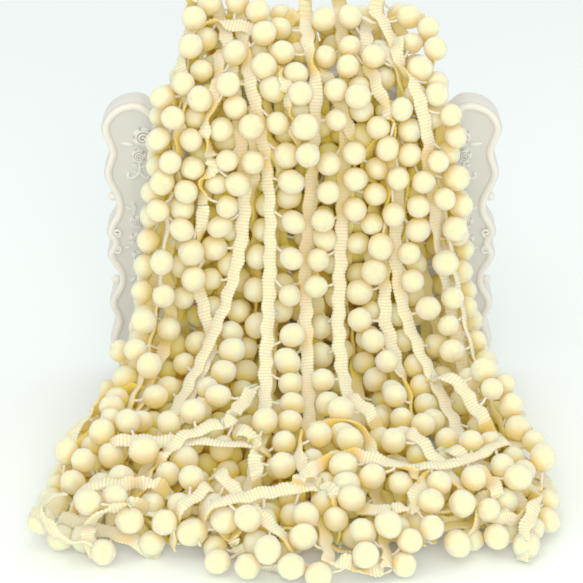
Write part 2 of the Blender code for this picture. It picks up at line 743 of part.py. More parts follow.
def make_trim(collection, tape_material, plaque):
    strands = make_strands()
    Spreader(strands).run()
    seat_strands(strands, plaque)
    total = 0
    for strand in strands:
        mesh = strand_mesh(strand)
        mesh.materials.append(tape_material)
        obj = bpy.data.objects.new("trim_" + strand["name"], mesh)
        collection.objects.link(obj)
        total += len(strand["balls"])
    print("balls", total)


def main():
    clear_scene()
    collection = new_collection(COLLECTION_NAME)
    cutters = new_collection(CUTTER_COLLECTION_NAME)
    cream = new_material("Cream wool and tape", CREAM, 0.9)
    white = new_material("Off-white plaque", OFF_WHITE, 0.35)
    plaque = make_plaque(collection, cutters, white)
    make_trim(collection, cream, plaque)


main()
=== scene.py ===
# %% [markdown]
# # Pompom fringe trim, hung in loops over a display plaque
# The trim is one long woven tape.  Felted wool balls hang from one of its edges, each on a
# short twisted thread.  The haberdasher drops the hank over an upright plaque, so the loops
# fall down its front and spread out over the table.
#
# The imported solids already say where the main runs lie.  This lesson dresses them: ribs and
# picots on the tape, fluff on the wool, ply in the threads, roses on the plaque.  It then
# fills the hank with the further loops that lie between those runs.

import math
from types import SimpleNamespace

import bmesh
import bpy
import numpy as np
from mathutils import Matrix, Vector
from mathutils.kdtree import KDTree
from mathutils.noise import noise


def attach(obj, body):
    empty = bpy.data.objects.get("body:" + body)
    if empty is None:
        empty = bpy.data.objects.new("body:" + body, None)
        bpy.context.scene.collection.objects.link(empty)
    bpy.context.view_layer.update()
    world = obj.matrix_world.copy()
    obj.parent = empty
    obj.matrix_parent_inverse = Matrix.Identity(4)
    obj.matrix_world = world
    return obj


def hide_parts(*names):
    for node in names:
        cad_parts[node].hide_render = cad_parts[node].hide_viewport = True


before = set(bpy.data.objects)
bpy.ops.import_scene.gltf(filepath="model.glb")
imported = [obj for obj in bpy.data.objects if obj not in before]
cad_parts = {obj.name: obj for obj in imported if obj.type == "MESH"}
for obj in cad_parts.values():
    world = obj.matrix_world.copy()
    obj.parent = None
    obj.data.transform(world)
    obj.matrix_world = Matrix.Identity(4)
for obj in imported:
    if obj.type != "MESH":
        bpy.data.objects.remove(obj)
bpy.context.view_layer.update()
MM = 0.001

# %% [markdown]
# ## The camera
# A product shot of a hank is taken from a little above with a long lens, so that the loops
# don't look stretched.  The camera is made first, because every later look is judged
# through it.  It stands back along one line from the middle of the drape.

# %% Camera
CAMERA_TARGET = Vector((-4.0, 0.0, 36.0)) * MM
CAMERA_DISTANCE = 935.0 * MM
CAMERA_ELEVATION = math.radians(25.0)
SENSOR_MM = 36.0
FOCAL_MM = 2280.0 / 583.0 * SENSOR_MM

camera = bpy.data.objects.new("camera", bpy.data.cameras.new("camera"))
camera.data.sensor_width = SENSOR_MM
camera.data.lens = FOCAL_MM
camera.data.clip_start = 0.05
camera.location = CAMERA_TARGET + CAMERA_DISTANCE * Vector(
    (0.0, -math.cos(CAMERA_ELEVATION), math.sin(CAMERA_ELEVATION)))
camera.rotation_euler = (math.pi / 2 - CAMERA_ELEVATION, 0.0, 0.0)
bpy.context.scene.collection.objects.link(camera)
bpy.context.scene.camera = camera
print("lens mm:", round(FOCAL_MM, 1))

# %% [markdown]
# ## How the trim is laid out
# A hank could be modelled by hand, point by point, or dropped as a rope simulation.  Here a
# short table says where each run crosses a few stations from the crest to the toe of the
# heap, and a small solver then moves the runs apart.  The tables and the solver are the ones
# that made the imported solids, so the dressed runs land exactly on them.

# %% Sizes of the trim
POMPOM_RADIUS = 5.0 * MM
POMPOM_PITCH = 13.3 * MM
TAPE_WIDTH = 5.3 * MM
THREAD_LENGTH = 3.0 * MM
NODES_PER_PITCH = 2
NODE_SPACING = POMPOM_PITCH / NODES_PER_PITCH
CURVE_STEPS = 24
PLAQUE_THICKNESS = 14.0 * MM

print("a ball every mm:", round(POMPOM_PITCH / MM, 1))

# %% The drape seen from the side
# The outermost and the innermost tape at each station, in millimetres.  half is the half
# width of the drape there.
FRONT_STATIONS = [
    # name, outer y, outer z, inner y, inner z, half
    ("crest", 8.0, 151.0, 8.0, 141.0, 66.0),
    ("shoulder", -22.0, 133.0, -14.0, 126.0, 72.0),
    ("chest", -31.0, 103.0, -19.0, 98.0, 76.0),
    ("waist", -37.0, 72.0, -21.0, 68.0, 82.0),
    ("hip", -46.0, 49.0, -24.0, 40.0, 86.0),
    ("knee", -64.0, 33.0, -38.0, 15.0, 94.0),
    ("shin", -96.0, 22.0, -68.0, 6.0, 108.0),
    ("hem", -134.0, 14.0, -104.0, 6.0, 116.0),
    ("toe", -171.0, 7.0, -140.0, 6.0, 120.0),
]
PLAN_POWER = 2.4
NEAREST_FACE = 6.5
print("stations from crest to toe:", len(FRONT_STATIONS))

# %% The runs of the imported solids
# x of the tape at each station, the share of the way that it reaches, its layer from 0
# outermost to 1 innermost, which edge carries the balls, and how far it turns edge-on at the
# crest and at the floor.  Millimetres and degrees.
FRONT_LEGS = [
    # name, crest, shoulder, chest, waist, hip, knee, shin, hem, toe, reach, layer, side, top, low
    ("left_edge", -41, -46, -52, -54, -55, -58, -68, -79, -84, 0.99, 0.1, -1, 60, 40),
    ("left_wall", -37, -41, -43, -45, -47, -54, -63, -76, -84, 0.88, 0.9, -1, 15, 5),
    ("left_long", -32, -26, -20, -22, -26, -38, -53, -60, -66, 0.97, 0.1, 1, 15, 10),
    ("left_fall", -25, -17, -11, -11, -12, -12, -13, -20, -28, 0.98, 0.0, -1, 10, 15),
    ("left_under", -20, -31, -33, -32, -34, -36, -39, -46, -52, 1.00, 0.8, -1, 20, 0),
    ("crest_loop", -10, -9, -7, -6, -9, -15, -25, -32, -36, 1.00, 0.8, -1, 25, 10),
    ("middle_fall", 1, 7, 6, 2, 1, 2, 2, 7, 12, 1.00, 0.1, 1, 5, 10),
    ("middle_under", 8, 10, 12, 11, 8, 6, 6, 2, -4, 0.94, 1.0, 1, 30, 10),
    ("right_fall", 16, 17, 18, 15, 13, 11, 22, 27, 32, 1.00, 0.1, 1, 5, 20),
    ("right_under", 24, 27, 29, 30, 32, 35, 38, 43, 46, 0.97, 0.9, 1, 25, 0),
    ("right_long", 32, 37, 37, 36, 34, 49, 59, 66, 76, 0.97, 0.1, -1, 30, 15),
    ("right_wall", 38, 41, 44, 45, 49, 59, 66, 72, 80, 0.87, 1.0, 1, 20, 0),
    ("right_edge", 43, 48, 53, 57, 61, 65, 74, 82, 85, 0.99, 0.2, 1, 60, 40),
]
BACK_BIGHTS = [
    # left leg, right leg, z of its foot, distance of its tape from the plaque's back
    ("left_edge", "left_wall", 98.0, 18.0),
    ("left_long", "left_fall", 104.0, 7.0),
    ("left_under", "crest_loop", 94.0, 19.0),
    ("middle_fall", "middle_under", 101.0, 7.0),
    ("right_fall", "right_under", 92.0, 18.0),
    ("right_long", "right_wall", 103.0, 7.0),
]
BIGHT_HALF_WIDTH = 9.0
BIGHT_START_Y = 13.0
BIGHT_DROP = 13.0
FLOOR_BIGHTS = [
    # name,   x,   y,    z,  radius, first angle, last angle
    ("turn_left", -83.0, -116.0, 9.0, 14.0, 80.0, 300.0),
    ("turn_middle", -42.0, -122.0, 26.0, 26.0, 30.0, 150.0),
    ("turn_right", 54.0, -126.0, 24.0, 16.0, -170.0, 60.0),
    ("turn_front", 17.0, -118.0, 27.0, 15.0, 200.0, -20.0),
    ("turn_low", -14.0, -146.0, 22.0, 17.0, 175.0, 15.0),
    ("turn_side", 80.0, -96.0, 12.0, 16.0, 100.0, -60.0),
    ("turn_back_left", -68.0, -45.0, 9.0, 14.0, 80.0, 280.0),
    ("turn_toe_left", -72.0, -142.0, 8.0, 12.0, 170.0, 360.0),
    ("turn_toe_right", 70.0, -144.0, 8.0, 13.0, 200.0, 380.0),
]
print("packed runs:", len(FRONT_LEGS) + len(BACK_BIGHTS) + len(FLOOR_BIGHTS))

# %% [markdown]
# ## Paths
# Each run's path is a smooth curve through its stations, cut into equal steps of half a
# pompom pitch.  A Catmull-Rom curve is used because it passes through every point it is
# given, which a Bezier's handles wouldn't promise.

# %% Smooth curves
def curve_at(points, places):
    """The smooth curve through the rows of points, read at fractional row numbers."""
    points = np.asarray(points, dtype=float)
    ghosts = np.vstack([2 * points[0] - points[1], points, 2 * points[-1] - points[-2]])
    start = np.clip(np.floor(places).astype(int), 0, len(points) - 2)
    t = (places - start)[:, None]
    a, b, c, d = (ghosts[start + k] for k in range(4))
    return 0.5 * (2 * b + (c - a) * t + (2 * a - 5 * b + 4 * c - d) * t ** 2
                  + (3 * b - a - 3 * c + d) * t ** 3)


def smooth_path(points, spacing):
    """Points a fixed distance apart along a smooth curve through the given points."""
    dense = curve_at(points, np.arange((len(points) - 1) * CURVE_STEPS + 1) / CURVE_STEPS)
    steps = np.linalg.norm(np.diff(dense, axis=0), axis=1)
    along = np.concatenate([[0.0], np.cumsum(steps)])
    places = np.arange(0.0, along[-1], spacing)
    return np.column_stack([np.interp(places, along, dense[:, k]) for k in range(3)])


def whole_pitches(path):
    """The path cut back so that it starts and ends half a pitch past its last ball."""
    return path[:(len(path) - 1) // NODES_PER_PITCH * NODES_PER_PITCH + 1]


print("a straight 10 mm in steps of 1 mm has points:",
      len(smooth_path([(0.0, 0.0, 0.0), (0.01, 0.0, 0.0)], MM)))

# %% [markdown]
# ### Three kinds of path
# A front leg falls from the crest through the stations.  A back bight joins the tops of two
# legs behind the plaque, and a floor bight is an arc on the table.  Seen from above the drape
# bends round the plaque at its two sides, and a superellipse gives that plan.

# %% The paths of the front legs, the back bights and the floor bights
def front_points(xs, layer):
    """Where a front leg in that layer passes each station, in metres."""
    face = -PLAQUE_THICKNESS / MM / 2 - NEAREST_FACE
    points = []
    for x, (name, outer_y, outer_z, inner_y, inner_z, half) in zip(xs, FRONT_STATIONS):
        y = outer_y + (inner_y - outer_y) * layer
        z = outer_z + (inner_z - outer_z) * layer
        plan = max(0.0, 1.0 - abs(x / half) ** PLAN_POWER) ** (1.0 / PLAN_POWER)
        if y < face:
            y = face + (y - face) * plan
        points.append((x * MM, y * MM, z * MM))
    return points


def front_path(xs, reach, layer):
    path = smooth_path(front_points(xs, layer), NODE_SPACING)
    return whole_pitches(path[:int(len(path) * reach)])


def back_path(x_left, x_right, layer_left, layer_right, foot, standoff):
    """A bight behind the plaque, between the tops of two front legs."""
    outer_z, inner_z = FRONT_STATIONS[0][2], FRONT_STATIONS[0][4]
    top_left = outer_z + (inner_z - outer_z) * layer_left
    top_right = outer_z + (inner_z - outer_z) * layer_right
    middle = (x_left + x_right) / 2
    out_left, out_right = middle - BIGHT_HALF_WIDTH, middle + BIGHT_HALF_WIDTH
    back = PLAQUE_THICKNESS / MM / 2 + standoff
    points = [
        (x_left, BIGHT_START_Y, top_left),
        (x_left, back, top_left - BIGHT_DROP),
        (out_left, back, foot + BIGHT_HALF_WIDTH),
        (middle, back, foot),
        (out_right, back, foot + BIGHT_HALF_WIDTH),
        (x_right, back, top_right - BIGHT_DROP),
        (x_right, BIGHT_START_Y, top_right),
    ]
    path = smooth_path([[c * MM for c in point] for point in points], NODE_SPACING)
    return whole_pitches(path)


def floor_path(x, y, z, radius, first, last):
    angles = np.radians(np.linspace(first, last, 7))
    points = [((x + radius * math.cos(a)) * MM, (y + radius * math.sin(a)) * MM, z * MM)
              for a in angles]
    return whole_pitches(smooth_path(points, NODE_SPACING))


print("nodes of the first leg:",
      len(front_path(FRONT_LEGS[0][1:10], FRONT_LEGS[0][10], FRONT_LEGS[0][11])))

# %% [markdown]
# ## From a path to a run of trim
# A run is three rows of points: the tape's plain edge, the edge that carries the threads,
# and the ball centres.  Real trim never hangs dead straight, so each run drifts sideways,
# turns partly edge-on and lets its balls hang a little unevenly.  All the chance is seeded.

# %% Directions and drift
WANDER_LENGTHS = (90.0 * MM, 47.0 * MM)
WALL_FROM = 20.0 * MM
WALL_WHOLE = 50.0 * MM
OVER_FROM = 135.0 * MM
OVER_WHOLE = 148.0 * MM
SIDEWAYS_FROM = 90.0 * MM
LEAN_OUT = 0.1
LEAN_UP = 0.15


def unit(rows):
    """Each row as a direction of length one."""
    return rows / np.linalg.norm(rows, axis=1)[:, None]


def wander(rng, count, size):
    """A smooth uneven drift along a run, from two waves with chance starts."""
    along = np.arange(count) * NODE_SPACING
    waves = [np.sin(2 * math.pi * (along / length + rng.random())) for length in WANDER_LENGTHS]
    return size * (waves[0] + 0.5 * waves[1])


def outward_directions(path):
    """Away from the plaque on the wall of the drape, upward over the crest and the floor."""
    wall = np.clip((path[:, 2] - WALL_FROM) / (WALL_WHOLE - WALL_FROM), 0.0, 1.0)
    over = np.clip((path[:, 2] - OVER_FROM) / (OVER_WHOLE - OVER_FROM), 0.0, 1.0)
    sideways = path[:, 0] / SIDEWAYS_FROM
    return np.column_stack([sideways, -wall * (1.0 - over) - LEAN_OUT,
                            1.0 - wall + over + LEAN_UP])


print("outward half way up the drape:",
      outward_directions(np.array([[0.0, 0.0, WALL_WHOLE]])).round(2).tolist())

# %% One run
EDGE_OFFSET = 1.9 * MM
THREAD_REACH = TAPE_WIDTH / 2 + THREAD_LENGTH + POMPOM_RADIUS - EDGE_OFFSET
WANDER = 1.6 * MM
TURN_WANDER = 22.0
HANG_SPREAD = 0.35
DROOP = 0.3


def make_run(rng, name, path, side, turns, outward):
    """One run before it is spread: both tape edges at each node, and a ball every pitch."""
    tangents = unit(np.gradient(path, axis=0))
    across = unit(np.cross(tangents, outward))
    facing = np.cross(across, tangents)
    path = path + across * wander(rng, len(path), WANDER)[:, None]
    angle = np.radians(np.linspace(turns[0], turns[1], len(path)))
    angle += np.radians(wander(rng, len(path), TURN_WANDER))
    width = (across * np.cos(angle)[:, None] * side + facing * np.sin(angle)[:, None])
    ball_nodes = np.arange(1, len(path), NODES_PER_PITCH)
    hang = width[ball_nodes] + rng.uniform(-HANG_SPREAD, HANG_SPREAD, (len(ball_nodes), 3))
    hang[:, 2] -= DROOP
    thread_edge = path + width * EDGE_OFFSET
    return {
        "name": name,
        "plain_edge": path - width * EDGE_OFFSET,
        "thread_edge": thread_edge,
        "ball_nodes": ball_nodes,
        "balls": thread_edge[ball_nodes] + unit(hang) * THREAD_REACH,
    }


print("from the tape's edge to a ball's centre, mm:", round(THREAD_REACH / MM, 2))

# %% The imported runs
SEED = 10
BEHIND = [0.0, 1.0, 0.3]
ABOVE = [0.0, -0.3, 1.0]


def packed_runs():
    rng = np.random.default_rng(SEED)
    runs = []
    for row in FRONT_LEGS:
        path = front_path(row[1:10], row[10], row[11])
        runs.append(make_run(rng, row[0], path, row[12], row[13:15], outward_directions(path)))
    legs = {row[0]: row for row in FRONT_LEGS}
    for left, right, foot, standoff in BACK_BIGHTS:
        path = back_path(legs[left][1], legs[right][1], legs[left][11], legs[right][11],
                         foot, standoff)
        runs.append(make_run(rng, "back_" + left, path, 1, (0.0, 0.0),
                             np.tile(BEHIND, (len(path), 1))))
    for name, *bight in FLOOR_BIGHTS:
        path = floor_path(*bight)
        runs.append(make_run(rng, name, path, 1, (0.0, 0.0), np.tile(ABOVE, (len(path), 1))))
    return runs


packed = packed_runs()
print("balls on the packed runs:", sum(len(run["balls"]) for run in packed))

# %% [markdown]
# ## Spreading the runs apart
# Blender's cloth or rigid body simulation could settle a hank, but eight hundred tied balls
# take long and land differently each time.  Position-based dynamics is the simple idea
# behind both: move points apart where they overlap, pull every length back to what it was,
# and repeat.  Written with numpy arrays it is quick and gives the same heap every time.
#
# ### A fence round the heap
# Balls that push each other apart would spread for ever, so the heap has a fence: the line
# of its two sides as it falls, its face, and its front edge on the table.  The fence is soft
# and draws a point back by a share of the way at each step.

# %% How far the heap spreads
# Its two sides, by how far down the fall a place is: minus y, minus z.  Millimetres.
HEAP_SIDES = np.array([
    # fall, left x, right x
    (-142.0, -46.0, 49.0),
    (-120.0, -55.0, 57.0),
    (-98.0, -61.0, 63.0),
    (-76.0, -61.0, 65.0),
    (-41.0, -66.0, 71.0),
    (-10.0, -68.0, 74.0),
    (23.0, -77.0, 78.0),
    (65.0, -87.0, 85.0),
    (88.0, -93.0, 91.0),
    (118.0, -99.0, 95.0),
    (131.0, -99.0, 94.0),
    (149.0, -92.0, 84.0),
]) * MM
# Its front edge on the table.  Millimetres.
HEAP_FRONT = np.array([
    # x, y
    (-99.0, -138.0),
    (-86.0, -157.0),
    (-62.0, -152.0),
    (-43.0, -158.0),
    (-22.0, -168.0),
    (-4.0, -174.0),
    (16.0, -171.0),
    (34.0, -167.0),
    (50.0, -153.0),
    (75.0, -160.0),
    (94.0, -134.0),
]) * MM
OUTER_BULGE = 4.0 * MM
FENCE_STIFFNESS = 0.35


def outer_face(fall):
    """How far out the outermost tape lies at each place down the fall: z minus y."""
    rows = np.array([(-y - z, z - y) for name, y, z, inner_y, inner_z, half in FRONT_STATIONS])
    return np.interp(fall, *(rows.T * MM))


def into_heap(points, reach, bulge):
    """The points with any that stand out past the heap's sides, face or front drawn in."""
    x, y, z = points.T
    fall = -y - z
    falls, left, right = HEAP_SIDES.T
    x_in = np.clip(x, np.interp(fall, falls, left) + reach, np.interp(fall, falls, right) - reach)
    over = (z - y) - (outer_face(fall) + bulge)
    out = np.where(y < 0.0, np.maximum(over, 0.0) / 2, 0.0)
    front = np.interp(x, *HEAP_FRONT.T) + reach
    y_in = np.maximum(y + out, front)
    return np.column_stack([x_in, y_in, z - out])


print("heap mm across at its widest:",
      round((HEAP_SIDES[:, 2] - HEAP_SIDES[:, 1]).max() / MM, 1))

# %% [markdown]
# ### Points and lengths
# The solver sees a run as loose points with rules between them.  A link keeps its length,
# which stands for the tape's weave and for the thread.  A fold keeps a ball from turning
# back over the tape that it hangs from.  A bend makes the tape lie straight if it can.

# %% Points, links and folds
CLEARANCE = 0.45 * MM
FEELER_RADIUS = 0.85 * MM
EVEN = (0.25, 0.25, 0.25, 0.25)
MID_THREAD = (0.25, 0.25, 0.24, 0.26)


def new_heap(runs, clearance):
    """The points that the solver moves, and the lengths and bends that it keeps.

    A run's points are its two tape edges and its balls.
    """
    heap = SimpleNamespace(runs=runs, clearance=clearance, rows=[], links=[], folds=[], bends=[])
    places, held_points, start = [], [], 0
    for run in runs:
        nodes = len(run["plain_edge"])
        plain = np.arange(start, start + nodes)
        thread = plain + nodes
        balls = np.arange(start + 2 * nodes, start + 2 * nodes + len(run["balls"]))
        start = balls[-1] + 1
        places += [run["plain_edge"], run["thread_edge"], run["balls"]]
        heap.rows.append((plain, thread, balls))
        if run.get("held"):
            held_points += [plain, thread, balls]
        if run.get("tied"):
            held_points += [plain[[0, -1]], thread[[0, -1]]]
        heap.links.append((plain, thread, 2 * EDGE_OFFSET))
        for edge in (plain, thread):
            heap.bends.append(edge)
            for first in (0, 1):
                heap.links.append((edge[first:-1:2], edge[first + 1::2], NODE_SPACING))
        heap.links.append((thread[run["ball_nodes"]], balls, THREAD_REACH))
        heap.folds.append((plain[run["ball_nodes"]], balls))
    heap.x = np.vstack(places)
    heap.home = heap.x.copy()
    heap.held_points = np.concatenate(held_points) if held_points else None
    heap.ball_points = np.concatenate([balls for plain, thread, balls in heap.rows])
    heap.reach = np.full(len(heap.x), FEELER_RADIUS)
    heap.reach[heap.ball_points] = POMPOM_RADIUS
    heap.bulge = np.full(len(heap.x), OUTER_BULGE)
    for run, row in zip(runs, heap.rows):
        heap.bulge[np.concatenate(row)] = run.get("bulge", OUTER_BULGE)
    return heap


print("clearance mm:", CLEARANCE / MM)

# %% [markdown]
# ### Feelers
# Two runs must not cross anywhere along the tape, and the moved points alone are too far
# apart to notice that.  So each run also has feelers: its balls, and a fine net of places on
# the tape and the threads.  A feeler is a weighted mean of up to four points, and a push on
# it is shared out among them by the same weights.

# %% Feelers
def tape_feelers(run, plain, thread, balls):
    """Places on one run's tape and threads: node number, four points, their weights."""
    rows = [(i, [p, p, p, p], EVEN) for i, p in enumerate(plain)]
    rows += [(i, [t, t, t, t], EVEN) for i, t in enumerate(thread)]
    rows += [(i, [p, p, t, t], EVEN) for i, (p, t) in enumerate(zip(plain, thread))]
    for i in range(len(plain) - 1):
        p, q, t, u = plain[i], plain[i + 1], thread[i], thread[i + 1]
        rows += [(i + 0.5, [p, p, q, q], EVEN), (i + 0.5, [t, t, u, u], EVEN),
                 (i + 0.5, [p, q, t, u], EVEN)]
    for i, t, c in zip(run["ball_nodes"], thread[run["ball_nodes"]], balls):
        rows.append((i, [t, t, t, c], MID_THREAD))
    return rows


def add_feelers(heap):
    rows = []
    for number, (run, row) in enumerate(zip(heap.runs, heap.rows)):
        rows += [(*feeler, number, False) for feeler in tape_feelers(run, *row)]
        rows += [(i, [c, c, c, c], EVEN, number, True) for i, c in zip(run["ball_nodes"], row[2])]
    station, points, weights, owner, is_ball = zip(*rows)
    heap.feeler_points = np.array(points)
    heap.feeler_weights = np.array(weights)
    heap.owner = np.array(owner)
    heap.station = np.array(station)
    heap.is_ball = np.array(is_ball)
    same_point = heap.feeler_points[:, :, None] == heap.feeler_points[:, None, :]
    products = heap.feeler_weights[:, :, None] * heap.feeler_weights[:, None, :]
    heap.share = heap.feeler_weights / (same_point * products).sum(axis=(1, 2))[:, None]
    heap.radii = np.where(heap.is_ball, POMPOM_RADIUS, FEELER_RADIUS)
    heap.held_owner = np.array([bool(run.get("held")) for run in heap.runs])[heap.owner]


def feeler_places(heap):
    return (heap.x[heap.feeler_points] * heap.feeler_weights[:, :, None]).sum(axis=1)


trial = new_heap(packed, CLEARANCE)
add_feelers(trial)
print("points:", len(trial.x), "feelers:", len(trial.owner))

# %% [markdown]
# ### Who is near whom
# Comparing every feeler with every other would take millions of distances at each step.
# A k-d tree finds only those that lie within reach, and the list is made anew every few
# steps, with a margin for what moves in between.  A ball may touch the tape that it hangs
# from, so those pairs are left out.

# %% Near pairs
TAPE_ON_TAPE = 0.45 * MM
OWN_BALL_NODES = 1.0
OWN_TAPE_NODES = 2.0


def find_pairs(heap, margin):
    """Every two feelers that are near enough to meet soon."""
    places = feeler_places(heap)
    tree = KDTree(len(places))
    for i, point in enumerate(places):
        tree.insert(point, i)
    tree.balance()
    found = []
    for i in np.flatnonzero(heap.is_ball):
        for point, j, distance in tree.find_range(places[i], 2 * POMPOM_RADIUS + margin):
            if not heap.is_ball[j] or j > i:
                found.append((i, j))
    reach = 2 * FEELER_RADIUS + TAPE_ON_TAPE + CLEARANCE + margin
    for i in np.flatnonzero(~heap.is_ball):
        for point, j, distance in tree.find_range(places[i], reach):
            if j > i and not heap.is_ball[j]:
                found.append((i, j))
    pairs = np.array(found, dtype=int)
    pairs = pairs[~(heap.held_owner[pairs[:, 0]] & heap.held_owner[pairs[:, 1]])]
    same = heap.owner[pairs[:, 0]] == heap.owner[pairs[:, 1]]
    apart = abs(heap.station[pairs[:, 0]] - heap.station[pairs[:, 1]])
    a_ball, b_ball = heap.is_ball[pairs[:, 0]], heap.is_ball[pairs[:, 1]]
    own = np.where(a_ball | b_ball, OWN_BALL_NODES, OWN_TAPE_NODES)
    heap.pairs = pairs[~(same & ~(a_ball & b_ball) & (apart < own))]
    a, b = heap.pairs[:, 0], heap.pairs[:, 1]
    both_tape = ~heap.is_ball[a] & ~heap.is_ball[b]
    heap.need = heap.radii[a] + heap.radii[b] + heap.clearance + TAPE_ON_TAPE * both_tape


find_pairs(trial, 0.0)
print("pairs that touch before the solver starts:", len(trial.pairs))

# %% [markdown]
# ### The moves
# One move pulls a link back to its length, one opens a fold that has shut, and one pushes
# overlapping feelers apart.  A point that is pushed by many neighbours at once takes a share
# of each push, or the heap would burst.

# %% Moves between points
CROWD_SHARE = 0.6


def hold(heap, a, b, length, stiffness):
    gap = heap.x[b] - heap.x[a]
    distance = np.linalg.norm(gap, axis=1)[:, None]
    move = gap * ((distance - length) / distance * 0.5 * stiffness)
    heap.x[a] += move
    heap.x[b] -= move


def hold_open(heap, a, b, length):
    gap = heap.x[b] - heap.x[a]
    distance = np.linalg.norm(gap, axis=1)[:, None]
    move = gap * (np.minimum(distance - length, 0.0) / distance * 0.5)
    heap.x[a] += move
    heap.x[b] -= move


def part_pairs(heap):
    """Push overlapping feelers apart, and return the worst overlap."""
    places = feeler_places(heap)
    a, b = heap.pairs[:, 0], heap.pairs[:, 1]
    gap = places[b] - places[a]
    distance = np.linalg.norm(gap, axis=1)
    short = heap.need - distance
    hit = short > 0
    if not hit.any():
        return 0.0
    a, b = a[hit], b[hit]
    push = gap[hit] * (short[hit] / distance[hit] * 0.5)[:, None]
    total = np.zeros_like(heap.x)
    count = np.zeros(len(heap.x))
    for ends, sign in ((a, -1.0), (b, 1.0)):
        for k in range(4):
            points = heap.feeler_points[ends, k]
            weights = heap.feeler_weights[ends, k]
            np.add.at(total, points, sign * push * heap.share[ends, k][:, None])
            np.add.at(count, points, weights)
    heap.x += total / np.maximum(1.0, count * CROWD_SHARE)[:, None]
    return short[hit].max()


print("moves:", [move.__name__ for move in (hold, hold_open, part_pairs)])

# %% [markdown]
# ### The plaque and the table
# The trim lies on two things that don't move.  The plaque is taken as a slab whose top edge
# follows the low arch and the lobes of its crest, and a point inside it leaves by the nearest
# way.  The table is a height that no point goes below.

# %% Plaque and table
TAPE_FROM_PLAQUE = 3.0 * MM
EDGE_ABOVE_FLOOR = 1.3 * MM
PLAQUE_CREST = [
    # x, z: the right half of the top edge, from the middle of the arch to the lobe
    (0.0, 134.0), (26.0, 132.0), (43.0, 124.0), (57.0, 115.5), (65.5, 120.5), (78.5, 112.0),
]
CREST_X, CREST_Z = np.array(PLAQUE_CREST).T * MM
CREST_BULGE = 0.8 * MM
TINY = 1e-9


def clear_plaque(heap):
    x, y, z = heap.x.T
    is_ball = np.zeros(len(heap.x), dtype=bool)
    is_ball[heap.ball_points] = True
    crest = np.interp(abs(x), CREST_X, CREST_Z) + CREST_BULGE
    reach = CLEARANCE + np.where(is_ball, POMPOM_RADIUS, TAPE_FROM_PLAQUE)
    side = np.where(y > 0, 1.0, -1.0)
    beyond = abs(y) - PLAQUE_THICKNESS / 2
    above = z - crest
    inside = (beyond < 0) & (above < 0)
    use_top = inside & (above > beyond)
    use_face = inside & ~use_top
    out_y, out_z = np.maximum(beyond, 0.0), np.maximum(above, 0.0)
    distance = np.maximum(np.hypot(out_y, out_z), TINY)
    short = np.where(inside, 0.0, np.maximum(reach - distance, 0.0))
    heap.x[:, 1] += side * out_y / distance * short
    heap.x[:, 2] += out_z / distance * short
    heap.x[use_top, 2] = (crest + reach)[use_top]
    heap.x[use_face, 1] = (side * (PLAQUE_THICKNESS / 2 + reach))[use_face]


def clear_floor(heap):
    lowest = np.full(len(heap.x), EDGE_ABOVE_FLOOR)
    lowest[heap.ball_points] = POMPOM_RADIUS
    heap.x[:, 2] = np.maximum(heap.x[:, 2], lowest)


print("crest of the plaque mm:", round(CREST_Z.max() / MM, 1))

# %% [markdown]
# ### One step, and the whole run
# A step pulls every point a little towards its first place, straightens the tape, applies
# the moves and then clears the plaque and the table.  The pull keeps the drape's design for
# the first steps and is then let go, so that the last overlaps can settle.

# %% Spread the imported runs
FOLD_REACH = 11.5 * MM
SPREAD_STEPS = 300
FREE_STEPS = 500
NEIGHBOUR_STEPS = 13
NEIGHBOUR_MARGIN = 2.5 * MM
HOME_PULL = 0.03
STRAIGHTEN = 0.06
LINK_STIFFNESS = 0.8


def step(heap, pull):
    heap.x += (heap.home - heap.x) * pull
    for edge in heap.bends:
        middle = (heap.x[edge[:-2]] + heap.x[edge[2:]]) / 2
        heap.x[edge[1:-1]] += (middle - heap.x[edge[1:-1]]) * STRAIGHTEN
    for a, b, length in heap.links:
        hold(heap, a, b, length, LINK_STIFFNESS)
    for a, b in heap.folds:
        hold_open(heap, a, b, FOLD_REACH)
    worst = part_pairs(heap)
    clear_plaque(heap)
    clear_floor(heap)
    if heap.held_points is not None:
        inside = into_heap(heap.x, heap.reach, heap.bulge)
        heap.x += (inside - heap.x) * FENCE_STIFFNESS
        heap.x[heap.held_points] = heap.home[heap.held_points]
    return worst


def spread(runs, clearance, pulled_steps, free_steps):
    """Move the runs apart until none overlap, with every length kept."""
    heap = new_heap(runs, clearance)
    add_feelers(heap)
    for number in range(pulled_steps + free_steps):
        if number % NEIGHBOUR_STEPS == 0:
            find_pairs(heap, NEIGHBOUR_MARGIN)
        worst = step(heap, HOME_PULL if number < pulled_steps else 0.0)
    for run, (plain, thread, balls) in zip(runs, heap.rows):
        run["plain_edge"] = heap.x[plain]
        run["thread_edge"] = heap.x[thread]
        run["balls"] = heap.x[balls]
    return worst


worst = spread(packed, CLEARANCE, SPREAD_STEPS, FREE_STEPS)
print("worst overlap left, mm:", round(worst / MM, 2))

# %% [markdown]
# ## Landing on the solids
# After the solver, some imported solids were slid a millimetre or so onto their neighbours.
# Each ball of a solid ends in one tip on its far side from the tape.  The same slide moves
# every tip of a run, so the middle one of the differences says how far the run was moved.

# %% Slide each packed run to its solid
def seated_shift(run, node):
    corners = [vert.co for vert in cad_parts[node].data.vertices]
    tree = KDTree(len(corners))
    for number, corner in enumerate(corners):
        tree.insert(corner, number)
    tree.balance()
    width = unit(run["thread_edge"] - run["plain_edge"])
    middle = (run["thread_edge"] + run["plain_edge"]) / 2
    roots = (middle + width * (TAPE_WIDTH / 2))[run["ball_nodes"]]
    tips = run["balls"] + unit(run["balls"] - roots) * POMPOM_RADIUS
    return np.median([np.array(tree.find(tip)[0]) - tip for tip in tips], axis=0)


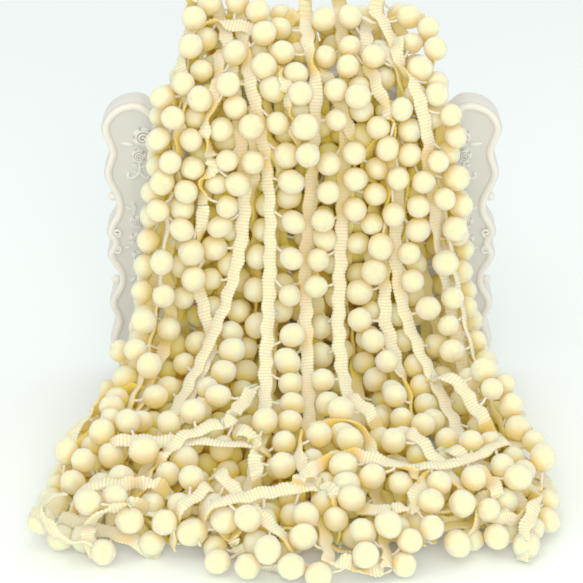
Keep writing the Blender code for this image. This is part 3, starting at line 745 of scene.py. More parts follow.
slides = []
for run in packed:
    run["node"] = "trim_" + run["name"]
    shift = seated_shift(run, run["node"])
    for part in ("plain_edge", "thread_edge", "balls"):
        run[part] = run[part] + shift
    run["held"] = True
    slides.append(np.linalg.norm(shift))
print("runs slid by more than 0.1 mm:", sum(slide > 0.1 * MM for slide in slides),
      "furthest mm:", round(max(slides) / MM, 2))

# %% [markdown]
# ## The loops between the solids
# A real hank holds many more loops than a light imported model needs.  Each further loop goes
# down the drape in one column, turns on the table and climbs back up the next column, so no
# cut end shows.  Its x fans out from the crest to the toe as the whole skirt does.

# %% Further loops, short turns and joins
SKIRT_FAN = (1.0, 1.12, 1.22, 1.3, 1.36, 1.5, 1.72, 1.95, 2.1)
FULL_LOOPS = [
    # name, crest x going down, crest x coming up, start, reach, layer, side, top, low
    ("loop_outer_left", -37.0, -27.0, 0.0, 0.93, 0.12, 1, 30.0, 20.0),
    ("loop_outer_right", 24.0, 39.0, 0.0, 0.95, 0.15, 1, 25.0, 30.0),
    ("loop_mid_left_edge", -45.0, -36.0, 0.07, 0.97, 0.45, 1, 50.0, 15.0),
    ("loop_mid_left", -28.0, -15.0, 0.12, 0.98, 0.6, -1, 30.0, 10.0),
    ("loop_mid_middle", -9.0, 4.0, 0.09, 0.97, 0.55, 1, 60.0, 10.0),
    ("loop_mid_right", 14.0, 23.0, 0.09, 0.98, 0.5, -1, 30.0, 10.0),
    ("loop_mid_right_edge", 33.0, 45.0, 0.07, 0.98, 0.45, 1, 50.0, 15.0),
    ("deep_left_edge", -44.0, -34.0, 0.10, 0.99, 1.5, 1, 60.0, 0.0),
    ("deep_left", -29.0, -19.0, 0.10, 1.0, 1.55, -1, 60.0, 0.0),
    ("deep_middle_left", -14.0, -5.0, 0.10, 1.0, 1.5, 1, 60.0, 0.0),
    ("deep_middle_right", 4.0, 13.0, 0.10, 1.0, 1.55, -1, 60.0, 0.0),
    ("deep_right", 18.0, 28.0, 0.10, 1.0, 1.5, 1, 60.0, 0.0),
    ("deep_right_edge", 35.0, 45.0, 0.10, 0.99, 1.55, -1, 60.0, 0.0),
]
LOOP_TURN = 9.0 * MM
LOOP_WANDER = 2.0 * MM
SHORT_TURNS = [
    # name, then x, y, z of the points that the tape passes, in millimetres
    ("ridge_left", (-43, -6, 153), (-28, -4, 160), (-14, -6, 158), (-9, -16, 147), (-9, -27, 130),
     (-8, -33, 112)),
    ("front_low", (-42, -148, 8), (-22, -157, 7), (0, -163, 7), (22, -161, 7), (42, -152, 8)),
    ("front_under", (-54, -132, 9), (-32, -140, 8), (-8, -146, 8), (16, -148, 8), (44, -138, 9)),
    ("lie_right_low", (42, -140, 16), (54, -146, 14), (66, -142, 13), (74, -132, 12)),
    ("lie_right_edge", (64, -108, 22), (76, -112, 18), (84, -122, 12), (78, -136, 9)),
    ("lie_right_toe", (88, -118, 8), (92, -132, 7), (86, -146, 7), (72, -152, 7)),
    ("lie_left_side", (-72, -76, 20), (-84, -88, 13), (-90, -104, 9), (-84, -120, 8)),
    ("lie_right_side", (72, -64, 22), (84, -74, 14), (90, -88, 9), (92, -104, 8)),
    ("lie_left_back", (-60, -44, 26), (-70, -56, 16), (-78, -70, 9), (-82, -88, 8)),
]
# Loops that lie on top of the heap with their woven face towards the room.
OVER_TAPES = [
    # name, then x, y, z of the points that the tape passes, in millimetres
    ("over_left_fold", (-52, -126, 22), (-45, -120, 23), (-35, -116, 24), (-27, -109, 25),
     (-23, -97, 28), (-21, -88, 31)),
    ("over_left_edge", (-71, -145, 18), (-68, -141, 19), (-65, -135, 20), (-57, -132, 20)),
    ("over_left_curl", (-74, -130, 21), (-70, -122, 23), (-63, -119, 23), (-58, -127, 22)),
    ("over_middle_left", (-22, -112, 26), (-19, -123, 23), (-16, -131, 21), (-11, -144, 18)),
    ("over_middle_low", (-30, -129, 21), (-27, -136, 20), (-23, -143, 18), (-17, -151, 16),
     (-8, -157, 15), (2, -157, 15)),
    ("over_front", (-44, -150, 17), (-38, -149, 18), (-30, -148, 18), (-22, -149, 16)),
    ("over_middle", (-2, -107, 26), (1, -116, 24), (5, -129, 21), (11, -142, 19), (19, -153, 17)),
    ("over_right_hook", (11, -101, 27), (14, -97, 28), (18, -96, 28), (23, -102, 27),
     (25, -114, 25), (25, -129, 21), (27, -142, 19), (30, -154, 16), (36, -160, 14),
     (42, -152, 16), (43, -138, 20), (41, -127, 21)),
    ("over_right", (40, -108, 26), (43, -115, 24), (49, -124, 22), (57, -133, 20), (67, -136, 19)),
    ("over_right_edge", (56, -112, 25), (61, -120, 23), (66, -128, 21), (72, -140, 17)),
    ("over_right_high", (20, -84, 32), (25, -93, 30), (29, -99, 28), (34, -105, 26)),
    ("over_left_toe", (-95, -150, 15), (-90, -155, 14), (-84, -156, 14), (-77, -156, 13)),
    ("over_right_side", (55, -73, 36), (60, -82, 33), (65, -91, 30), (68, -103, 26)),
]
OVER_BULGE = 13.0 * MM
OVER_FACE = [0.0, -0.75, 0.65]
TOE_JOINS = [
    # the two legs whose ends it joins, and how far it swings out past them, in millimetres
    ("left_edge", "left_long", 4.0),
    ("left_under", "crest_loop", 12.0),
    ("left_fall", "middle_under", 9.0),
    ("middle_fall", "right_fall", 5.0),
    ("right_under", "right_long", 12.0),
    ("right_wall", "right_edge", 10.0),
]
BACK_LOOPS = [
    # name, left x, right x, z of its foot, distance from the plaque's back, in millimetres
    ("back_loop_left", -36.0, -14.0, 100.0, 11.0),
    ("back_loop_middle", -12.0, 12.0, 97.0, 13.0),
    ("back_loop_right", 14.0, 40.0, 96.0, 11.0),
]
print("further loops:", sum(len(table) for table in (FULL_LOOPS, SHORT_TURNS, OVER_TAPES,
                                                      TOE_JOINS, BACK_LOOPS)))

# %% [markdown]
# ### Building the further runs
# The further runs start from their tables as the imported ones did.  The solver then spreads
# them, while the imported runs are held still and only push.  A join is tied to the toes of
# two legs.  A ball that still has no room afterwards is left out, as a hank hides many.

# %% Paths of the further runs
JOIN_DETAIL = 8


def loop_path(x_down, x_up, start, reach, layer):
    """Down one column of the drape, round a turn on the table, and up the next one."""
    legs = []
    for crest_x in (x_down, x_up):
        leg = smooth_path(front_points([crest_x * fan for fan in SKIRT_FAN], layer), NODE_SPACING)
        legs.append(leg[int(len(leg) * start):int(len(leg) * reach)])
    down, up = legs[0], legs[1][::-1]
    out = unit((down[-1:] - down[-3:-2]) + (up[:1] - up[2:3]))[0]
    turn = (down[-1] + up[0]) / 2 + out * LOOP_TURN
    return whole_pitches(smooth_path(np.vstack([down[:-1:2], [turn], up[1::2]]), NODE_SPACING))


def toe_join(rng, first, second, swing):
    """A run tied at both ends to the toes of two legs, so their tape goes on unbroken."""
    ends = []
    for run in (first, second):
        middle = (run["plain_edge"] + run["thread_edge"]) / 2
        ends.append((middle[-1], unit((middle[-1] - middle[-2])[None])[0]))
    (a, way_a), (b, way_b) = ends
    out = unit((way_a + way_b)[None])[0] * swing * MM
    middle = (a + b) / 2 + out
    middle[2] = max(middle[2] - swing * MM / 2, POMPOM_RADIUS)
    path = smooth_path([a, a + way_a * swing * MM / 2, middle, b + way_b * swing * MM / 2, b],
                       NODE_SPACING / JOIN_DETAIL)
    nodes = int(round(len(path) / JOIN_DETAIL / NODES_PER_PITCH)) * NODES_PER_PITCH
    places = np.linspace(0, len(path) - 1, nodes + 1)
    path = np.column_stack([np.interp(places, np.arange(len(path)), path[:, k]) for k in range(3)])
    run = make_run(rng, "join_" + first["name"], path, 1, (0.0, 0.0),
                   np.tile(ABOVE, (len(path), 1)))
    for number, other in ((0, first), (-1, second)):
        run["plain_edge"][number] = other["plain_edge"][-1]
        run["thread_edge"][number] = other["thread_edge"][-1]
    run["tied"] = True
    return run


print("nodes of the first further loop:", len(loop_path(*FULL_LOOPS[0][1:6])))

# %% The further runs
EXTRA_SEED = 23
BACK_LAYER = 0.4
SHORT_TILT = (0.0, 20.0)
OVER_TILT = (0.0, 10.0)


def further_runs():
    rng = np.random.default_rng(EXTRA_SEED)
    by_name = {run["name"]: run for run in packed}
    runs = []
    for name, x_down, x_up, start, reach, layer, side, top, low in FULL_LOOPS:
        path = loop_path(x_down, x_up, start, reach, layer)
        path[:, 0] += wander(rng, len(path), LOOP_WANDER)
        runs.append(make_run(rng, name, path, side, (top, low), outward_directions(path)))
    for name, *points in SHORT_TURNS:
        path = whole_pitches(smooth_path(np.array(points) * MM, NODE_SPACING))
        runs.append(make_run(rng, name, path, rng.choice([-1, 1]), SHORT_TILT,
                             outward_directions(path)))
    for name, *points in OVER_TAPES:
        path = whole_pitches(smooth_path(np.array(points) * MM, NODE_SPACING))
        runs.append(make_run(rng, name, path, rng.choice([-1, 1]), OVER_TILT,
                             np.tile(OVER_FACE, (len(path), 1))))
        runs[-1]["bulge"] = OVER_BULGE
    for name, x_left, x_right, foot, standoff in BACK_LOOPS:
        path = back_path(x_left, x_right, BACK_LAYER, BACK_LAYER, foot, standoff)
        runs.append(make_run(rng, name, path, 1, (0.0, 0.0), np.tile(BEHIND, (len(path), 1))))
    for first, second, swing in TOE_JOINS:
        runs.append(toe_join(rng, by_name[first], by_name[second], swing))
    return runs


further = further_runs()
print("balls on the further runs:", sum(len(run["balls"]) for run in further))

# %% Spread the further runs
EXTRA_CLEARANCE = 0.1 * MM
EXTRA_PULLED_STEPS = 200
EXTRA_FREE_STEPS = 300
ROOM = 7.8 * MM


def keep_roomy_balls(packed, further):
    """Leave out each further ball that the heap has no room for, and count them."""
    placed, left_out = np.vstack([run["balls"] for run in packed]), 0
    for run in further:
        gaps = np.linalg.norm(run["balls"][:, None] - placed[None], axis=2).min(axis=1)
        own = np.linalg.norm(np.diff(run["balls"], axis=0), axis=1)
        keep = (gaps > ROOM) & (np.append(ROOM, own) >= ROOM)
        left_out += int((~keep).sum())
        run["balls"], run["ball_nodes"] = run["balls"][keep], run["ball_nodes"][keep]
        placed = np.vstack([placed, run["balls"]])
    return left_out


share = 1.0
worst = spread(packed + further, EXTRA_CLEARANCE,
               int(EXTRA_PULLED_STEPS * share), int(EXTRA_FREE_STEPS * share))
left_out = keep_roomy_balls(packed, further)
runs = packed + further
print("runs:", len(runs), "balls:", sum(len(run["balls"]) for run in runs),
      "left out:", left_out, "worst overlap mm:", round(worst / MM, 2))

# %% [markdown]
# ## How hemmed in a place is
# Cream wool looks almost white where it faces the room and golden where it faces its
# neighbours, because light that passes between them loses its blue at every bounce.  The
# shader can't count neighbours, but the layout can: every ball and every bit of tape is
# taken as a sphere, and a surface point adds up how much of its view each one fills.  The
# materials turn that count into painted golden shade in the base colour.

# %% Crowding
NEAR = 28.0 * MM
TAPE_BLOCK = 2.3 * MM


def middle_line(run):
    return (run["plain_edge"] + run["thread_edge"]) / 2


block_places = np.vstack([run["balls"] for run in runs] + [middle_line(run) for run in runs])
ball_count = sum(len(run["balls"]) for run in runs)
block_radii = np.where(np.arange(len(block_places)) < ball_count, POMPOM_RADIUS, TAPE_BLOCK)


def crowding(points, normals, own=None):
    """From 0 in the open to 1 deep in the heap, for surface points and their directions."""
    centre = points.mean(axis=0)
    spread = np.linalg.norm(points - centre, axis=1).max()
    away = np.linalg.norm(block_places - centre, axis=1)
    near = away < NEAR + spread
    if own is not None:
        near &= away > own
    gap = block_places[near][None] - points[:, None]
    distance = np.linalg.norm(gap, axis=2)
    facing = np.einsum("pbk,pk->pb", gap, normals) / distance
    fills = np.minimum(block_radii[near][None] / distance, 1.0) ** 2
    return 1.0 - np.exp(-(fills * np.maximum(facing, 0.0)).sum(axis=1))


print("places that block the view:", len(block_places))

# %% [markdown]
# ## The tape
# The tape is woven with a thick cord-like weft, so it has a rib across it about every
# millimetre, and each rib ends in a tiny picot on both edges.  At this size the ribs catch
# the light, so they are real geometry: a ring of six corners is swept along the run, and it
# swells on each rib and narrows in each groove.

# %% Meshes from arrays
def new_object(name, points, faces, attributes=()):
    """A smooth object in the scene from arrays, with a number per point for each attribute."""
    mesh = bpy.data.meshes.new(name)
    mesh.from_pydata(np.asarray(points).tolist(), [], faces)
    for key, values in attributes:
        mesh.attributes.new(key, "FLOAT", "POINT").data.foreach_set(
            "value", np.asarray(values, dtype=np.float32))
    mesh.shade_smooth()
    mesh.validate()
    piece = bpy.data.objects.new(name, mesh)
    bpy.context.scene.collection.objects.link(piece)
    return piece


def swept_faces(rings, corners, first=0):
    """The faces of a closed tube of rings with its two end caps."""
    faces = []
    for ring in range(rings - 1):
        a = first + ring * corners
        for k in range(corners):
            m = (k + 1) % corners
            faces.append((a + k, a + m, a + corners + m, a + corners + k))
    faces.append(tuple(range(first + corners - 1, first - 1, -1)))
    last = first + (rings - 1) * corners
    faces.append(tuple(range(last, last + corners)))
    return faces


print("faces of a tube of 3 rings of 6 corners:", len(swept_faces(3, 6)))

# %% [markdown]
# ### No cut ends
# The real trim is one unbroken tape, and a run that just stops would show a cut end in the
# air.  So each free end gets a little more tape, without balls, that curls down into the
# heap.  At the crest the leg goes on to the bight behind the plaque instead, and two legs
# that a join ties together at the toe need nothing.

# %% Tucked ends
TUCK_ANGLES = (0.5, 1.0, 1.35, 1.5)
TUCK_STEP = 4.5 * MM
TUCK_LOWEST = 0.8 * MM
TUCK_TO_MIDDLE = 0.4
TUCK_INWARD = 0.5
HEAP_MIDDLE = np.array([0.0, -80.0, 8.0]) * MM
TOWARDS_PLAQUE = np.array([0.0, -0.8, -0.6])


def one_unit(vector):
    return unit(vector[None])[0]


def inward_way(run, line):
    """The direction into the heap at the end of a run's line."""
    if run["name"].startswith("back"):
        way = TOWARDS_PLAQUE
    else:
        way = -outward_directions(line[-2:])[-1]
    return one_unit(one_unit(way) + TUCK_TO_MIDDLE * one_unit(HEAP_MIDDLE - line[-1]))


def tucked_end(run, last):
    """Edge points that carry the tape on from a cut end, curling down into the heap."""
    way = slice(None) if last else slice(None, None, -1)
    line = middle_line(run)[way]
    half = (run["thread_edge"] - run["plain_edge"])[way][-1] / 2
    along = unit((line[-1:] - line[-2:-1]))[0]
    normal = np.cross(along, half)
    inward = inward_way(run, line)
    flat = 1.0 - abs(half[2]) / np.linalg.norm(half)
    bend = one_unit(normal / np.linalg.norm(normal) * np.sign(normal @ inward)
                    + TUCK_INWARD * flat * inward)
    place, added = line[-1], []
    for angle in TUCK_ANGLES:
        place = place + (along * math.cos(angle) + bend * math.sin(angle)) * TUCK_STEP
        place[2] = max(place[2], abs(half[2]) + TUCK_LOWEST)
        added.append(place)
    added = into_heap(np.array(added), TAPE_WIDTH / 2, 0.0)
    return added - half, added + half


def crest_bridge(run, bight, end):
    """Edge points that carry a leg over the crest to the end of its bight behind."""
    half = (run["thread_edge"] - run["plain_edge"])[0] / 2
    place = middle_line(bight)[end]
    return (place - half)[None], (place + half)[None]


by_name = {run["name"]: run for run in runs}
bridges = {}
for left, right, foot, standoff in BACK_BIGHTS:
    bight = by_name["back_" + left]
    bridges[left] = (bight, 0)
    bridges[right] = (bight, -1)
joined_toes = {leg for first, second, swing in TOE_JOINS for leg in (first, second)}


def lengthened(run):
    """The run with tape, but no balls, added where it would show a cut end."""
    if run.get("tied") or run["name"].startswith("back_") and run.get("held"):
        return run
    starts, ends = tucked_end(run, False), tucked_end(run, True)
    if run["name"] in bridges:
        starts = crest_bridge(run, *bridges[run["name"]])
    if run["name"] in joined_toes:
        ends = [np.empty((0, 3))] * 2
    longer = dict(run)
    for key, before, after in zip(("plain_edge", "thread_edge"), starts, ends):
        longer[key] = np.vstack([before[::-1], run[key], after])
    return longer


print("legs that a bridge carries over the crest:", len(bridges))

# %% [markdown]
# ### Sweeping the ribs
# The six corners of the section run along the tape, three rings to a rib: a narrow one in
# the groove and two wide ones on the rib.  The tape also ruffles a little from side to side,
# and each ring keeps how crowded its two faces are, for the painted golden shade in its colour.

# %% Tape mesh
RIBS_PER_PITCH = 10
RING_SWELL = (0.0, 1.0, 1.0)
GROOVE_HALF_WIDTH = 2.32 * MM
PICOT = 0.42 * MM
GROOVE_HALF_THICK = 0.22 * MM
RIB_HEIGHT = 0.3 * MM
TAPE_BATCH = 40
TAPE_SECTION = [(-1.0, 0.0), (-0.86, 1.0), (0.86, 1.0), (1.0, 0.0), (0.86, -1.0), (-0.86, -1.0)]
ALONG_STEP = 0.05
TABLE_GAP = 0.1 * MM
RUFFLE = 0.35 * MM
RUFFLE_NARROW = 0.07
RUFFLE_LENGTHS = (9.5 * MM, 13.0 * MM, 7.0 * MM)


def tape_frame(run, places):
    """Middle, width and normal directions of the tape at fractional nodes."""
    line = middle_line(run)
    middle = curve_at(line, places)
    along = unit(curve_at(line, places + ALONG_STEP) - curve_at(line, places - ALONG_STEP))
    width = curve_at(unit(run["thread_edge"] - run["plain_edge"]), places)
    width = unit(width - along * (width * along).sum(axis=1)[:, None])
    return middle, width, np.cross(along, width)


def make_tape(run):
    run = lengthened(run)
    nodes = len(run["plain_edge"])
    pitches = (nodes - 1) / NODES_PER_PITCH
    rings = int(pitches * RIBS_PER_PITCH) * len(RING_SWELL) + 1
    places = np.linspace(0.0, nodes - 1.0, rings)
    middle, width, normal = tape_frame(run, places)
    waves = [np.sin(2 * math.pi * places * NODE_SPACING / length + number)
             for number, length in enumerate(RUFFLE_LENGTHS)]
    middle = middle + (width * waves[0][:, None] + normal * waves[1][:, None]) * RUFFLE
    swell = np.array(RING_SWELL)[np.arange(rings) % len(RING_SWELL)]
    half_width = GROOVE_HALF_WIDTH * (1.0 + RUFFLE_NARROW * waves[2]) + PICOT * swell
    half_thick = GROOVE_HALF_THICK + RIB_HEIGHT * swell
    across = np.array([corner[0] for corner in TAPE_SECTION])
    out = np.array([corner[1] for corner in TAPE_SECTION])
    points = (middle[:, None] + width[:, None] * (half_width[:, None] * across)[:, :, None]
              + normal[:, None] * (half_thick[:, None] * out)[:, :, None])
    points[:, :, 2] = np.maximum(points[:, :, 2], TABLE_GAP)
    ribs = np.repeat(np.arange(rings) / len(RING_SWELL), len(TAPE_SECTION))
    # How crowded each face of the tape is, which the tape paints as golden shade.
    deep = np.empty((rings, len(TAPE_SECTION)))
    for first in range(0, rings, TAPE_BATCH):
        some = slice(first, first + TAPE_BATCH)
        for side in (-1.0, 1.0):
            seen = crowding(middle[some] + normal[some] * side * TAPE_BLOCK, normal[some] * side)
            deep[some, out * side > 0] = seen[:, None]
    deep[:, out == 0] = deep[:, out != 0].mean(axis=1)[:, None]
    faces = swept_faces(rings, len(TAPE_SECTION))
    return new_object("tape_" + run["name"], points.reshape(-1, 3), faces,
                      [("ribs", ribs), ("across", np.tile(across, rings)), ("deep", deep.ravel())])


print("a rib every mm:", round(NODES_PER_PITCH * NODE_SPACING / RIBS_PER_PITCH / MM, 2))

# %% [markdown]
# ## The pompoms and their threads
# A felted ball is never quite round.  It is a little egg shaped, with soft lumps and a halo
# of loose fluff.  A particle hair system would be the usual way to grow the fluff, but a few
# dozen short tapered fibres on each ball are lighter and stay in the exported mesh.  Five
# different balls are made once, then turned and sized by chance for every place.

# %% Five felted balls
BALL_SHAPES = 5
LUMP_HEIGHT = 0.055
LUMP_SCALE = 1.9
SMALL_LUMPS = 0.4
SMALL_SCALE = 2.6
FIBRES_PER_BALL = 46
FIBRE_ROOT = 0.018
FIBRE_LENGTH = (0.07, 0.16)
FIBRE_LEAN = 0.14
FIBRE_SUNK = 0.97
SHAPE_SEED = 4


def fibre(points, rng, place):
    """A closed three-sided sliver from a place on the ball, leaning as loose wool does."""
    out = place / np.linalg.norm(place)
    side = np.cross(out, rng.normal(size=3))
    side /= np.linalg.norm(side)
    other = np.cross(out, side)
    lean = (side * rng.normal() + other * rng.normal()) * FIBRE_LEAN
    tip = place + out * rng.uniform(*FIBRE_LENGTH) + lean
    first = len(points)
    for k in range(3):
        angle = 2 * math.pi * k / 3
        spoke = side * math.cos(angle) + other * math.sin(angle)
        points.append(place * FIBRE_SUNK + spoke * FIBRE_ROOT)
    points.append(tip)
    return [(first, first + 1, first + 3), (first + 1, first + 2, first + 3),
            (first + 2, first, first + 3), (first + 2, first + 1, first)]


def felted_ball(rng):
    """Points and triangles of a ball of radius one, with lumps and fluff."""
    bm = bmesh.new()
    bmesh.ops.create_icosphere(bm, subdivisions=3, radius=1.0)
    shift = Vector(rng.uniform(0.0, 50.0, 3))
    for vert in bm.verts:
        lump = noise(vert.co * LUMP_SCALE + shift)
        lump += SMALL_LUMPS * noise(vert.co * LUMP_SCALE * SMALL_SCALE + shift)
        vert.co *= 1.0 + LUMP_HEIGHT * lump
    points = [np.array(vert.co) for vert in bm.verts]
    faces = [tuple(vert.index for vert in face.verts) for face in bm.faces]
    for number in rng.choice(len(points), FIBRES_PER_BALL, replace=False):
        faces += fibre(points, rng, points[number])
    bm.free()
    return np.array(points), faces


shape_rng = np.random.default_rng(SHAPE_SEED)
ball_shapes = [felted_ball(shape_rng) for number in range(BALL_SHAPES)]
print("triangles in one ball:", len(ball_shapes[0][1]))

# %% [markdown]
# ### A thread for every ball
# The thread leaves the edge of the tape, sags a little and ends inside the wool.  It is
# twisted from two plies: a section that is a little oval and turns along the way shows that
# with very few faces.  A run's balls and threads are one object with two materials, which
# keeps the scene light.

# %% Threads
THREAD_RADIUS = 0.5 * MM
THREAD_PLY = 0.24
THREAD_CORNERS = 6
THREAD_RINGS = 7
THREAD_TURNS = 1.1
THREAD_SAG = 0.5 * MM
ANY_WAY = (0.3, 0.5, 0.8)


def thread_points(root, end):
    """A two-ply thread: its oval section turns as it goes, which reads as a twist."""
    share = np.linspace(0.0, 1.0, THREAD_RINGS)
    line = root + (end - root) * share[:, None]
    line[:, 2] -= THREAD_SAG * 4 * share * (1 - share)
    axis = (end - root) / np.linalg.norm(end - root)
    first = np.cross(axis, ANY_WAY)
    first /= np.linalg.norm(first)
    second = np.cross(axis, first)
    rings = []
    for place, part in zip(line, share):
        for k in range(THREAD_CORNERS):
            angle = 2 * math.pi * k / THREAD_CORNERS
            radius = THREAD_RADIUS * (1.0 + THREAD_PLY * math.cos(
                2 * (angle - 2 * math.pi * THREAD_TURNS * part)))
            rings.append(place + (first * math.cos(angle) + second * math.sin(angle)) * radius)
            rings[-1][2] = max(rings[-1][2], TABLE_GAP)
    return rings


print("points in one thread:", THREAD_RINGS * THREAD_CORNERS)

# %% Balls of a run
BALL_SIZE = (0.88, 1.02)
BALL_ALONG = (0.94, 1.12)
BALL_ACROSS = (0.91, 1.03)
ROOT_IN_TAPE = 0.5 * MM
END_IN_BALL = 0.9 * MM
OWN_BALL = 1.0 * MM
NEAR_TABLE = 1.03 * POMPOM_RADIUS
THREAD_DEEP_LEVEL = 0.5


def ball_turn(rng, axis):
    """A rotation that points the ball's pole along the thread, with a chance spin."""
    first = np.cross(axis, rng.normal(size=3))
    first /= np.linalg.norm(first)
    return np.column_stack([first, np.cross(axis, first), axis])


def make_balls(run, rng):
    """All balls and threads of a run as one object: wool in slot 0, thread in slot 1."""
    middle, width, normal = tape_frame(run, run["ball_nodes"].astype(float))
    roots = middle + width * (TAPE_WIDTH / 2 - ROOT_IN_TAPE)
    points, faces, shade, deep = [], [], [], []
    for root, centre in zip(roots, run["balls"]):
        shape, triangles = ball_shapes[rng.integers(BALL_SHAPES)]
        axis = centre - root
        axis /= np.linalg.norm(axis)
        size = POMPOM_RADIUS * rng.uniform(*BALL_SIZE)
        scale = size * np.array([rng.uniform(*BALL_ACROSS), rng.uniform(*BALL_ACROSS),
                                 rng.uniform(*BALL_ALONG)])
        turned = (shape * scale) @ ball_turn(rng, axis).T
        ball = turned + centre
        if ball[:, 2].min() < 0.0 or centre[2] < NEAR_TABLE:
            ball[:, 2] -= ball[:, 2].min()
        first = len(points)
        faces += [(a + first, b + first, c + first) for a, b, c in triangles]
        points += list(ball)
        shade += [rng.random()] * len(ball)
        # How crowded each point of the wool is, which the wool paints as golden shade.
        deep += list(crowding(ball, unit(turned), OWN_BALL))
    wool_faces = len(faces)
    for root, centre in zip(roots, run["balls"]):
        axis = centre - root
        axis /= np.linalg.norm(axis)
        end = centre - axis * (POMPOM_RADIUS - END_IN_BALL)
        faces += swept_faces(THREAD_RINGS, THREAD_CORNERS, len(points))
        points += thread_points(root, end)
        shade += [THREAD_DEEP_LEVEL] * (THREAD_RINGS * THREAD_CORNERS)
        deep += [THREAD_DEEP_LEVEL] * (THREAD_RINGS * THREAD_CORNERS)
    piece = new_object("balls_" + run["name"], points, faces, [("shade", shade), ("deep", deep)])
    piece.data.materials.append(None)
    piece.data.materials.append(None)
    slots = np.zeros(len(piece.data.polygons), dtype=np.int32)
    slots[wool_faces:] = 1
    piece.data.polygons.foreach_set("material_index", slots)
    return piece


# %% Make every tape and every ball
ball_rng = np.random.default_rng(SHAPE_SEED + 1)
tapes, ball_pieces = [], []
for run in runs:
    tapes.append(make_tape(run))
    ball_pieces.append(make_balls(run, ball_rng))
print("triangles:", sum(len(poly.vertices) - 2 for piece in tapes + ball_pieces
                        for poly in piece.data.polygons))

# %% [markdown]
# ## Shared effects
# Wool, tape and thread all show fine fibres, and the plaque shows the fine grain of cast
# resin.  Each effect is one node group with its own inputs, so one change to it reaches
# every material that uses it.

# %% Helpers for node trees
def new_group(name, inputs, outputs):
    """A node group with named inputs (name, start value) and outputs (name, type)."""
    group = bpy.data.node_groups.new(name, "ShaderNodeTree")
    for label, value in inputs:
        socket = group.interface.new_socket(label, in_out="INPUT", socket_type="NodeSocketFloat")
        socket.default_value = value
    for label, kind in outputs:
        group.interface.new_socket(label, in_out="OUTPUT", socket_type=kind)
    return group, group.nodes.new("NodeGroupInput"), group.nodes.new("NodeGroupOutput")


def add(tree, kind, values=(), **settings):
    """A node in the tree, with its settings and the values of its sockets."""
    node = tree.nodes.new(kind)
    for key, value in settings.items():
        setattr(node, key, value)
    for key, value in values:
        node.inputs[key].default_value = value
    return node


def link(tree, out_socket, in_socket):
    tree.links.new(out_socket, in_socket)


print("helpers ready for", bpy.app.version_string)

# %% [markdown]
# ### Fibre grain
# Loose fibres look like fine streaks that bend.  Noise that bends the place where a Voronoi
# pattern is read gives such streaks, and a broad second noise gives soft patches, because
# wool never takes its dye quite evenly.

# %% Fibre grain group
def fibre_grain():
    """Streaky fine fibres and broad soft patches, both from the object's own space."""
    group, given, made = new_group(
        "Fibre grain", [("Scale", 2600.0), ("Stretch", 3.0), ("Patch scale", 260.0)],
        [("Fibres", "NodeSocketFloat"), ("Patches", "NodeSocketFloat")])
    place = add(group, "ShaderNodeTexCoord")
    warp = add(group, "ShaderNodeTexNoise", [("Scale", 700.0), ("Detail", 1.0)])
    bend = add(group, "ShaderNodeVectorMath", [(1, (0.0011, 0.0011, 0.0011))],
               operation="MULTIPLY_ADD")
    fine = add(group, "ShaderNodeTexNoise", [("Detail", 3.0), ("Roughness", 0.62)])
    ridge = add(group, "ShaderNodeTexVoronoi", feature="DISTANCE_TO_EDGE")
    share = add(group, "ShaderNodeMath", [(1, 2.2)], operation="MULTIPLY", use_clamp=True)
    both = add(group, "ShaderNodeMath", [(1, 0.5)], operation="MULTIPLY_ADD")
    patch = add(group, "ShaderNodeTexNoise", [("Detail", 2.0), ("Roughness", 0.5)])
    link(group, place.outputs["Object"], warp.inputs["Vector"])
    link(group, warp.outputs["Color"], bend.inputs[0])
    link(group, place.outputs["Object"], bend.inputs[2])
    link(group, bend.outputs[0], fine.inputs["Vector"])
    link(group, bend.outputs[0], ridge.inputs["Vector"])
    link(group, given.outputs["Scale"], fine.inputs["Scale"])
    link(group, given.outputs["Scale"], ridge.inputs["Scale"])
    link(group, given.outputs["Stretch"], fine.inputs["Distortion"])
    link(group, ridge.outputs["Distance"], share.inputs[0])
    link(group, fine.outputs["Fac"], both.inputs[0])
    link(group, share.outputs[0], both.inputs[2])
    link(group, place.outputs["Object"], patch.inputs["Vector"])
    link(group, given.outputs["Patch scale"], patch.inputs["Scale"])
    link(group, both.outputs[0], made.inputs["Fibres"])
    link(group, patch.outputs["Fac"], made.inputs["Patches"])
    return group


FIBRE_GRAIN = fibre_grain()
print("outputs:", [socket.name for socket in FIBRE_GRAIN.interface.items_tree
                   if socket.in_out == "OUTPUT"])
